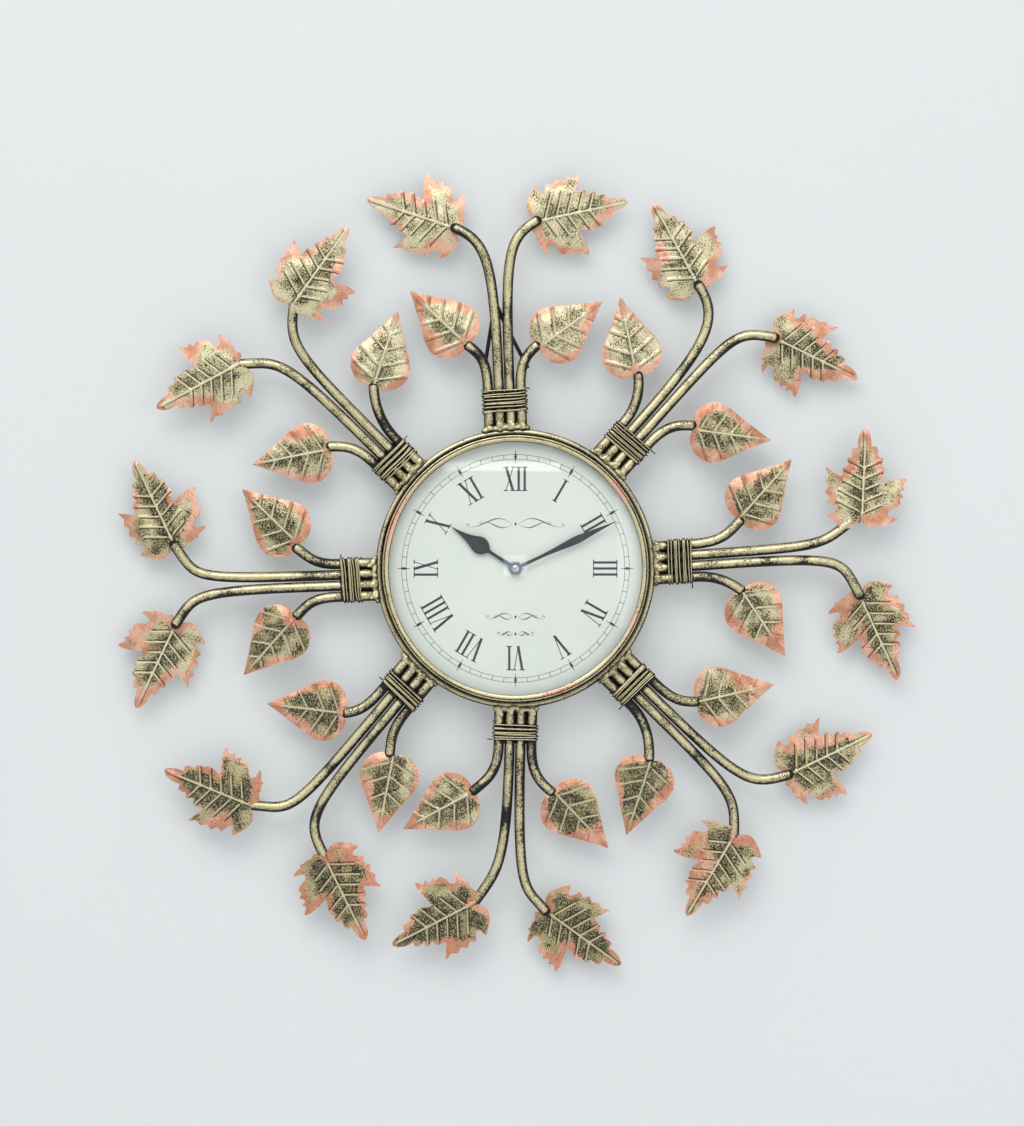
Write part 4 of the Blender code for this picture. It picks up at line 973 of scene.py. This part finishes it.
def build_wrap(spray, centre, heading, turns, length, rng):
    """One length of wire wound round a spray's four rods, with its twisted tail left sticking out."""
    along = unit(heading)
    left = turned(along)
    half_width = 1.5 * ROD_PITCH + ROD_RADIUS + WIRE
    half_depth = ROD_RADIUS + WIRE
    tilt = rng.uniform(-0.05, 0.05)
    phases = [rng.uniform(0, 2 * math.pi) for _ in range(4)]
    slack = rng.uniform(0.6, 1.0)
    path = []
    for step in range(turns * WRAP_STEPS + 1):
        turn = step / WRAP_STEPS
        across, out = superellipse(2 * math.pi * turn + math.pi - 0.4, half_width, half_depth)
        # The turns creep along the rods, wander slowly and from turn to turn, and slant a little each.
        drift = (turn / turns - 0.5) * (length - 2 * WIRE)
        drift += slack * math.sin(turn * 1.7 + phases[0]) + 0.40 * math.sin(turn * 5.1 + phases[1])
        drift += tilt * across + 0.6 * math.sin(2 * math.pi * turn + phases[2] + 0.7 * math.sin(turn * 2.3))
        # Some turns stand off the rods more than others.
        slackness = 1 + math.sin(turn * 3.3 + phases[3])
        place = np.asarray(centre) + along * drift + left * across * (1 + 0.008 * slackness)
        path.append(np.array((place[0], -(ROD_DEPTH + out * (1 + 0.06 * slackness)), place[1])))
    end = path[-1]
    onward = path[-1] - path[-2]
    onward /= np.linalg.norm(onward)
    outward = -np.array([left[0], 0, left[1]])
    tail_length = rng.uniform(2, 4.5)
    for step in range(1, TAIL_STEPS + 1):
        path.append(end + (0.2 * onward + outward) * tail_length * step / TAIL_STEPS)
    verts, faces = tube(path, [WIRE] * len(path), WIRE_SIDES)
    obj = solid(f"{spray}_binding", verts, faces, "wire", "gilt_and_copper_steel")
    side = np.abs((obj_points(obj) - np.asarray(centre)) @ left)
    set_front(obj, smooth_step(side, half_width - 2.0, half_width + 0.6) * 0.35)


def build_weld(spray, centre, heading, rng):
    """The lumpy bead that joins a spray's rods to the hoop, with a filling between the rods kept black as
    painted shade in the gaps.
    """
    along = unit(heading)
    left = turned(along)
    bm = bmesh.new()

    def blob(place, depth, size):
        made = bmesh.ops.create_icosphere(bm, subdivisions=3, radius=1.0)["verts"]
        seed = Vector((rng.uniform(0, 99), rng.uniform(0, 99), 0))
        for vert in made:
            local = vert.co * (1 + 0.16 * noise.noise(vert.co * 2.4 + seed))
            flat = along * local.x * size[0] + left * local.z * size[2]
            vert.co = Vector((place[0] + flat[0], -(depth + local.y * size[1]), place[1] + flat[1]))

    # A lump over each rod's end with drips on it, the filling between rods, kept black as painted shade, and
    # the
    #     bead along the hoop.
    for index in range(4):
        start = rod_start(centre, heading, rod_offset(index))
        length = rng.uniform(3.0, 6.5)
        blob(start + along * length * 0.45, ROD_DEPTH + 0.25, (length, 4.15, 4.05))
        for _ in range(3):
            size = rng.uniform(0.9, 1.7)
            place = start + along * rng.uniform(0, length + 1) + left * rng.uniform(-2.4, 2.4)
            blob(place, ROD_DEPTH + 3.3, (size * rng.uniform(1.0, 2.0), size * 0.9, size))
    for index in range(3):
        start = rod_start(centre, heading, rod_offset(index + 0.5))
        blob(start + along * 12.0, ROD_DEPTH - 2.6, (16.0, 2.0, 1.9))
    for index in range(BEAD_LUMPS):
        offset = (index / (BEAD_LUMPS - 1) - 0.5) * 3.75 * ROD_PITCH
        size = rng.uniform(1.7, 2.7)
        place = rod_start(centre, heading, offset) + along * rng.uniform(-0.6, 0.9)
        blob(place, ROD_DEPTH + rng.uniform(0.6, 1.8), (size, size * 1.1, size * 1.3))
    name = f"{spray}_weld"
    mesh = bpy.data.meshes.new(name)
    bm.to_mesh(mesh)
    bm.free()
    lumps = add_object(name, mesh)
    add_modifier(lumps, "REMESH", mode="VOXEL", voxel_size=0.55)
    add_modifier(lumps, "SMOOTH", factor=0.6, iterations=4)
    fused = bpy.data.meshes.new_from_object(lumps.evaluated_get(bpy.context.evaluated_depsgraph_get()))
    verts = [tuple(vert.co) for vert in fused.vertices]
    faces = [tuple(polygon.vertices) for polygon in fused.polygons]
    bpy.data.objects.remove(lumps)
    bead = piece(name, verts, faces, "weld", "gilt_steel")
    depth = -np.asarray(verts)[:, 1]
    # The parts that lie deeper than the rods' middle stay black: painted shade between and behind the rods.
    set_front(bead, 1.0 - smooth_step(depth, ROD_DEPTH - 0.6, ROD_DEPTH + 1.2))


# ---- hoop, hanger and case ----

def build_hoop():
    profile = [(HOOP_RADIUS + out, HOOP_DEPTH + up) for out, up in circle(HOOP_WIRE, 24)]
    verts, faces = lathe(profile, RING_SIDES)
    obj = solid("hoop_rod", verts, faces, "hoop", "gilt_steel", replaces=("frame_hoop",))
    set_front(obj, ring_soot(obj_points(obj), 1.7, 0.17))


def ring_soot(points, phase, depth):
    """Irregular black stretches round a ring."""
    angle = np.arctan2(points[:, 1], points[:, 0]) + phase
    waves = np.sin(3 * angle) + np.sin(7 * angle + 1.3) + np.sin(13 * angle + 4.1)
    return depth * smooth_step(waves, 0.2, 2.2)


def smooth_curve(points, steps):
    """A Catmull-Rom curve through points."""
    points = [np.asarray(point, float) for point in points]
    padded = [2 * points[0] - points[1], *points, 2 * points[-1] - points[-2]]
    curve = []
    for index in range(1, len(padded) - 2):
        before, start, end, after = padded[index - 1:index + 3]
        slope = end - before
        square = 2 * before - 5 * start + 4 * end - after
        cube = 3 * start - before - 3 * end + after
        for step in range(steps):
            t = step / steps
            curve.append(0.5 * (2 * start + slope * t + square * t ** 2 + cube * t ** 3))
    curve.append(points[-1])
    return curve


HANGER = [(-24.4, 151), (-22.8, 159.7), (-19.6, 180), (-17.6, 193), (-16.4, 198.4), (-14.4, 200.8),
          (-12.4, 198), (-10.2, 192), (-4.1, 180), (5.3, 161.7), (9.6, 153.6)]


HANGER_WIRE = 1.5


def build_hanger():
    middle = sum(depth_range("hanging_loop")) / 2
    path = [(x, -middle, z) for x, z in smooth_curve(HANGER, 8)]
    verts, faces = tube(path, [HANGER_WIRE] * len(path), 14)
    solid("hanging_wire", verts, faces, "iron", "iron_wire", replaces=("hanging_loop",))


# Where copper was sprayed on the bezel: middle and half width in degrees, strength.
BEZEL_BLUSH = [(158, 20, 0.75), (38, 12, 0.8), (-22, 12, 0.65), (-72, 14, 0.8), (205, 10, 0.35)]


# The drum: its wall, the bevel of its rear edge and the ledge that the dial lies on.
DRUM_WALL = 1.2
DRUM_BEAD = 0.5
LEDGE_RADIUS = 93.0
LEDGE_REAR, LEDGE_FRONT = 22.5, 23.7


def build_drum():
    inner = DRUM_RADIUS - DRUM_WALL
    profile = [(DRUM_RADIUS, DRUM_REAR + DRUM_BEAD), (DRUM_RADIUS, DRUM_FRONT), (inner, DRUM_FRONT),
               (inner, LEDGE_FRONT), (LEDGE_RADIUS, LEDGE_FRONT), (LEDGE_RADIUS, LEDGE_REAR),
               (inner, LEDGE_REAR), (inner, DRUM_REAR), (DRUM_RADIUS - DRUM_BEAD, DRUM_REAR)]
    verts, faces = lathe(profile, 192)
    solid("drum_shell", verts, faces, "case", "black_case", replaces=("case_drum",), sharp=30)


# The bezel: its inner radius, the bore round the glass, its groove, and the rear and edge of its lip.
BEZEL_INNER = BEZEL_OUTER - 5.3
BEZEL_SEAT = 100.3
BEZEL_GROOVE = BEZEL_OUTER - 1.75
LIP_REAR = 32.0
LIP_EDGE = 0.15


# How black the bezel is at each radius: in the crease by the glass and at its outer foot.
BEZEL_SOOT = [96.4, 97.2, 100.6, 101.9], [0.2, 0.0, 0.0, 0.4]


def build_bezel():
    """A half-round ring with a fine groove near its outer edge, over the rim of the glass."""
    crown = []
    for step in range(BEZEL_STEPS + 1):
        angle = math.pi * step / BEZEL_STEPS
        radius = (BEZEL_OUTER + BEZEL_INNER) / 2 + (BEZEL_OUTER - BEZEL_INNER) / 2 * math.cos(angle)
        height = (BEZEL_FRONT - LIP_REAR - LIP_EDGE) * math.sin(angle) ** 0.8
        groove = 1.1 * math.exp(-((radius - BEZEL_GROOVE) / 0.4) ** 2) * math.sin(angle)
        crown.append((radius, LIP_REAR + LIP_EDGE + height - groove))
    profile = [(BEZEL_OUTER, BEZEL_REAR), *crown, (BEZEL_INNER, LIP_REAR), (BEZEL_SEAT, LIP_REAR),
               (BEZEL_SEAT, BEZEL_REAR)]
    verts, faces = lathe(profile, RING_SIDES)
    bezel = solid("bezel_ring", verts, faces, "bezel", "gilt_bezel", replaces=("bezel",), sharp=40)
    points = obj_points(bezel)
    radius = np.hypot(points[:, 0], points[:, 1])
    soot_and_shade = np.interp(radius, *BEZEL_SOOT) + ring_soot(points, 0.4, 0.09)
    soot_and_shade += 0.45 * np.exp(-((radius - BEZEL_GROOVE) / 0.35) ** 2)
    angle = np.degrees(np.arctan2(points[:, 1], points[:, 0]))
    blush = np.zeros(len(points))
    for middle, width, strength in BEZEL_BLUSH:
        apart = (angle - middle + 180) % 360 - 180
        blush = np.maximum(blush, strength * np.exp(-(apart / width) ** 2))
    set_front(bezel, soot_and_shade, blush)


GLASS_THICKNESS = 1.5
DOME_RINGS = 16


def build_glass():
    rise = GLASS_FRONT - GLASS_REAR - GLASS_THICKNESS
    shares = [ring / DOME_RINGS for ring in range(DOME_RINGS + 1)]
    back = [(GLASS_RADIUS * share, GLASS_REAR + rise * (1 - share ** 2)) for share in shares]
    front = [(radius, depth + GLASS_THICKNESS) for radius, depth in back]
    verts, faces = lathe(front + back[::-1], 160)
    solid("dome", verts, faces, "glass", "glass", replaces=("glass",), sharp=40)


# ---- dial ----

# The numerals: capital height, radius of their middles, serifs, thick and thin strokes, letter widths.
NUMERALS = ["XII", "I", "II", "III", "IV", "V", "VI", "VII", "VIII", "IX", "X", "XI"]
CAP_HEIGHT = 18.6
NUMERAL_RADIUS = 68.5
SERIF = 0.75
THICK = 1.8
THIN = 0.62
GLYPH_WIDTH = {"I": 4.6, "V": 9.6, "X": 9.4}


def oblong(x_low, x_high, z_low, z_high):
    """The corners of an upright oblong."""
    return [(x_low, z_low), (x_high, z_low), (x_high, z_high), (x_low, z_high)]


def slanted(x_low, x_high, width, half):
    """A stroke from the foot to the cap line."""
    return [(x_low - width / 2, -half), (x_low + width / 2, -half), (x_high + width / 2, half),
            (x_high - width / 2, half)]


def bar(x, width, height):
    """A serif across a stroke's end."""
    return oblong(x - width / 2, x + width / 2, height - SERIF / 2, height + SERIF / 2)


def glyph(letter):
    half = CAP_HEIGHT / 2
    line = half - SERIF / 2
    if letter == "I":
        return [slanted(0, 0, THICK, half), bar(0, 4.3, line), bar(0, 4.3, -line)]
    if letter == "V":
        return [slanted(0.3, -2.9, THICK * 1.1, half), slanted(0.3, 3.2, THIN, half),
                bar(-2.9, 4.2, line), bar(3.2, 3.2, line)]
    return [slanted(2.7, -2.7, THICK * 1.15, half), slanted(-2.9, 2.9, THIN, half),
            bar(-2.7, 4.0, line), bar(2.8, 3.2, line), bar(2.7, 4.0, -line), bar(-2.8, 3.2, -line)]


def placed(outline, outward, radius=0.0):
    """An upright outline moved out from the dial's middle by a radius, with its top outward."""
    right = -turned(outward)
    return [tuple(right * x + outward * (radius + y)) for x, y in outline]


def numeral_strokes():
    strokes = []
    for hour, word in enumerate(NUMERALS):
        cursor = -sum(GLYPH_WIDTH[letter] for letter in word) / 2
        for letter in word:
            middle = cursor + GLYPH_WIDTH[letter] / 2
            cursor += GLYPH_WIDTH[letter]
            for stroke in glyph(letter):
                moved = [(middle + x, y) for x, y in stroke]
                strokes.append(placed(moved, unit(90 - 30 * hour), NUMERAL_RADIUS))
    return strokes


# The minute track, as radii: its two circles, and upright outlines of its ticks and diamonds.
TRACK_INNER, TRACK_OUTER = 83.5, 87.0
TRACK_LINE = 0.34
MINUTE_TICK = oblong(-0.2, 0.2, TRACK_INNER, TRACK_OUTER)
HOUR_TICK = oblong(-0.22, 0.22, 80.4, 90.2)
HOUR_DIAMOND = [(0, 81.9), (1.15, 85.3), (0, 88.7), (-1.15, 85.3)]


def track_strokes():
    strokes = []
    for minute in range(60):
        marks = [MINUTE_TICK] if minute % 5 else [HOUR_TICK, HOUR_DIAMOND]
        strokes += [placed(mark, unit(90 - 6 * minute)) for mark in marks]
    return strokes


def ribbon(points, widths):
    """A flat line of changing width along points."""
    points = np.asarray(points, float)
    along = np.gradient(points, axis=0)
    along /= np.linalg.norm(along, axis=1)[:, None]
    left = np.column_stack([-along[:, 1], along[:, 0]]) * np.asarray(widths)[:, None] / 2
    return [tuple(point) for point in points + left] + [tuple(point) for point in (points - left)[::-1]]


# Pen scrolls in place of the lettering: height on the dial, half width, swing of the line.
FLOURISHES = [(34.0, 36.0, 5.0), (-37.0, 21.0, 3.2), (-50.0, 12.5, 2.0)]
SCROLL_START = 2.4
SCROLL_CURL = 1.7
SCROLL_STEPS = 48
CURL_STEPS = 24


def flourish(centre_z, half_width, height):
    """A pair of mirrored pen scrolls about a small diamond."""
    strokes = [[(0, centre_z - 1.5), (0.9, centre_z), (0, centre_z + 1.5), (-0.9, centre_z)]]
    for side, lift, share in ((1, 1, 1.0), (1, -0.7, 0.72), (-1, 1, 1.0), (-1, -0.7, 0.72)):
        curve, widths = [], []
        for step in range(SCROLL_STEPS + 1):
            t = step / SCROLL_STEPS
            x = SCROLL_START + (half_width * share - SCROLL_START) * t
            swing = math.sin(math.pi * t * 1.5) * (1 - 0.55 * t)
            curve.append((side * x, centre_z + lift * height * swing))
            widths.append(0.16 + 0.62 * math.sin(math.pi * t) ** 2)
        end_x, end_z = curve[-1]
        for step in range(1, CURL_STEPS + 1):
            t = step / CURL_STEPS
            angle = math.pi * 1.6 * t
            radius = SCROLL_CURL * (1 - 0.8 * t)
            curve.append((end_x + side * radius * math.sin(angle),
                          end_z + lift * (SCROLL_CURL - radius * math.cos(angle)) * 0.9))
            widths.append(0.22 + 0.3 * t)
        strokes.append(ribbon(curve, widths))
    return strokes


DIAL_HOLE = 4.2
INK_FILM = 0.03


def build_dial():
    verts, faces = prism(circle(radius_of("dial"), 160), [circle(DIAL_HOLE, 32)], *depth_range("dial"))
    solid("dial_card", verts, faces, "dial", "dial_card", replaces=("dial",), sharp=30)
    marks = [(circle(radius + TRACK_LINE / 2, RING_SIDES), [circle(radius - TRACK_LINE / 2, RING_SIDES)])
             for radius in (TRACK_INNER, TRACK_OUTER)]
    strokes = numeral_strokes() + track_strokes()
    for scroll in FLOURISHES:
        strokes += flourish(*scroll)
    marks += [(stroke, []) for stroke in strokes]
    print_verts, print_faces = [], []
    for outline, holes in marks:
        verts, faces = prism(outline, holes, DIAL_FRONT, DIAL_FRONT + INK_FILM)
        print_faces += [tuple(index + len(print_verts) for index in face) for face in faces]
        print_verts += verts
    solid("dial_print", print_verts, print_faces, "ink", "dial_card", smooth=False)


# ---- hands ----

HOUR_HAND = [(7.5, 1.5), (14, 1.25), (22, 1.3), (24.6, 1.9), (26.4, 4), (28.8, 5.8), (31.8, 6.6),
             (35, 6.2), (38.6, 4.7), (43, 3), (50, 1.4), (58.8, 0.12)]
MINUTE_HAND = [(7.5, 1.35), (18, 1.15), (30, 1.55), (42, 2.45), (50, 3), (55, 2.85), (62, 2.1),
               (72, 1.2), (85.4, 0.12)]


# Of each hand: its body, half outline, angle, and the radii of its hub and bore.
HANDS = {"hour_hand": ("hour", HOUR_HAND, HOUR_ANGLE, 4.7, 3.0),
         "minute_hand": ("minute", MINUTE_HAND, MINUTE_ANGLE, 4.2, 1.5)}
HUB_STEPS = 20


def build_hand(node, body, outline, heading, hub_radius, bore):
    along = unit(90 - heading)
    left = turned(along)
    join = math.asin(min(1.0, outline[0][1] / hub_radius))
    turns = [join + (math.pi - join) * step / HUB_STEPS for step in range(HUB_STEPS + 1)]
    half = smooth_curve(outline, 6)[::-1]
    half += [(hub_radius * math.cos(turn), hub_radius * math.sin(turn)) for turn in turns]
    whole = half + [(reach, -width) for reach, width in reversed(half[:-1])]
    flat = [tuple(along * reach + left * width) for reach, width in whole]
    verts, faces = prism(flat, [circle(bore, 28)], *depth_range(node))
    distance = np.hypot(np.array(verts)[:, 0], np.array(verts)[:, 2])
    # The points near the hub carry a painted blue reflection.
    obj = solid(node + "_blade", verts, faces, "hand", "hand_steel", body=body, replaces=(node,), sharp=30,
                hub=1 - smooth_step(distance, 6.0, 11.0))
    add_modifier(obj, "BEVEL", width=0.16 * MM, segments=2, limit_method="ANGLE",
                 angle_limit=math.radians(50))


NUT_BORE = 1.5
NUT_CROWN = 1.1
NUT_STEPS = 8


def build_hands():
    for node, making in HANDS.items():
        build_hand(node, *making)
    rear, front = depth_range("hand_nut")
    radius = radius_of("hand_nut")
    angles = [math.pi / 2 * step / NUT_STEPS for step in range(NUT_STEPS)]
    crown = [(radius * math.cos(angle), front - NUT_CROWN + NUT_CROWN * math.sin(angle)) for angle in angles]
    profile = [(NUT_BORE, rear), (radius - 0.2, rear), (radius, rear + 0.2), *crown, (0, front),
               (0, front - 0.7), (NUT_BORE, front - 0.7)]
    verts, faces = lathe(profile, 40)
    solid("cap_nut", verts, faces, "nickel", "nickel", body="minute", replaces=("hand_nut",), sharp=40)


# ---- the CAD nodes that stay ----

KEPT = {
    "case": ["back_plate"],
    "brass": ["neck_nut", "centre_wheel", "minute_arbor"],
    "plastic": ["movement_case", "movement_cover"],
    "nickel": ["contact_positive", "contact_negative", "stator"],
    "nylon": ["intermediate_wheel", "seconds_wheel", "third_wheel", "motion_wheel", "hour_wheel"],
    "sleeve": ["battery"],
    "board": ["circuit_board"],
    "copper_coil": ["coil"],
    "magnet": ["rotor"],
    "knob": ["set_knob"]}


def dress_kept_nodes():
    for material, nodes in KEPT.items():
        for node in nodes:
            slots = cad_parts[node].data.materials
            slots.clear()
            slots.append(MATERIALS[material])


# ---- stage, lights and camera ----

def wall_material():
    """Pale wall, seen through from behind."""
    paint = Paint("wall_paint")
    cloud = paint.ramp(paint.noise(400.0, 2.0), 0.3, 0.7)
    paint.set(Base_Color=paint.mix(cloud, (0.565, 0.583, 0.592), (0.575, 0.593, 0.602)), Roughness=0.75,
              Emission_Color=(0.80, 0.825, 0.84), Emission_Strength=0.215)
    paint.bump(paint.noise(3.0, 3.0), 0.05, 0.3)
    behind = paint.node("ShaderNodeNewGeometry", "Backfacing")
    clear = paint.node("ShaderNodeBsdfTransparent", 0)
    return paint.blend_shaders(behind, Field(paint, paint.shader.outputs[0]), clear)


def floor_material():
    paint = Paint("floor_paint")
    cloud = paint.ramp(paint.noise(300.0, 2.0), 0.3, 0.7)
    paint.set(Base_Color=paint.mix(cloud, (0.76, 0.77, 0.78), (0.79, 0.80, 0.81)), Roughness=0.7)
    return paint.material


def stage_plane(name, corners, material):
    mesh = bpy.data.meshes.new(name)
    mesh.from_pydata(corners, [], [(0, 1, 2, 3)])
    mesh.materials.append(material)
    obj = add_object(name, mesh)
    return obj


def area_light(name, place, size, power, colour):
    """An oblong light, sizes and place in metres, that points at the dial."""
    data = bpy.data.lights.new(name, "AREA")
    data.shape = "RECTANGLE"
    data.size, data.size_y = size
    data.energy = power
    data.color = colour
    obj = add_object(name, data)
    obj.location = place
    obj.rotation_euler = (-Vector(place)).to_track_quat("-Z", "Y").to_euler()


# The camera, in metres: the middle and height of the picture, and how far off the camera stands.
FRAME_CENTRE = (-0.0027, 0.0042)
FRAME_HEIGHT = 0.8614
CAMERA_DISTANCE = 3.2
SENSOR = 36.0
PICTURE_PLANE = 0.02


# The stage, in metres: the wall stands just behind the frame and the floor is below the picture.
HALF_WIDTH = 3
WALL_Y = 0.0012
WALL_TOP = 2.2
FLOOR_Z = -0.9
FLOOR_FRONT, FLOOR_BACK = -4, 3

# Of each light: name, place, size, power, colour.
LIGHTS = [
    ("key", (-0.6, -2.0, 2.0), (2.6, 1.8), 42, (1.0, 0.985, 0.955)),
    ("fill", (1.8, -2.4, 0.2), (2.0, 1.6), 12, (0.97, 0.985, 1.0)),
    ("dome_arc", (-0.15, -3.4, 1.12), (1.3, 0.10), 1.6, (1.0, 1.0, 1.0)),
    ("dome_window", (0.0, -3.45, 0.03), (0.26, 0.22), 0.55, (0.72, 0.85, 1.0)),
    ("rear_fill", (0.8, 2.2, 1.4), (1.6, 1.4), 26, (1.0, 1.0, 1.0))]


def build_world():
    """A plain sky, brighter above than below."""
    world = bpy.data.worlds.new("studio")
    world.use_nodes = True
    tree = world.node_tree
    background = tree.nodes["Background"]
    upward = tree.nodes.new("ShaderNodeSeparateXYZ")
    tree.links.new(tree.nodes.new("ShaderNodeTexCoord").outputs["Generated"], upward.inputs["Vector"])
    sky = tree.nodes.new("ShaderNodeMapRange")
    for key, value in (("From Min", -0.7), ("From Max", 0.7), ("To Min", 0.33), ("To Max", 0.65)):
        sky.inputs[key].default_value = value
    tree.links.new(upward.outputs["Z"], sky.inputs["Value"])
    tree.links.new(sky.outputs["Result"], background.inputs["Strength"])
    background.inputs["Color"].default_value = (0.965, 0.985, 0.99, 1)
    bpy.context.scene.world = world


def build_camera():
    camera = bpy.data.cameras.new("camera")
    camera.sensor_width = SENSOR
    camera.sensor_fit = "VERTICAL"
    camera.sensor_height = SENSOR
    camera.lens = SENSOR * (CAMERA_DISTANCE - PICTURE_PLANE) / FRAME_HEIGHT
    obj = add_object("camera", camera)
    obj.location = (FRAME_CENTRE[0], -CAMERA_DISTANCE, FRAME_CENTRE[1])
    obj.rotation_euler = (math.pi / 2, 0, 0)
    bpy.context.scene.camera = obj


def build_stage():
    upright = oblong(-HALF_WIDTH, HALF_WIDTH, FLOOR_Z, WALL_TOP)
    wall = stage_plane("wall", [(x, WALL_Y, z) for x, z in upright], wall_material())
    wall.visible_shadow = False
    level = oblong(-HALF_WIDTH, HALF_WIDTH, FLOOR_FRONT, FLOOR_BACK)
    stage_plane("floor", [(x, y, FLOOR_Z) for x, y in level], floor_material())
    for light in LIGHTS:
        area_light(*light)
    build_world()
    build_camera()
    bpy.context.scene.view_settings.view_transform = "Standard"


build_sprays()
build_hoop()
build_hanger()
build_drum()
build_bezel()
build_glass()
build_dial()
build_hands()
dress_kept_nodes()
build_stage()
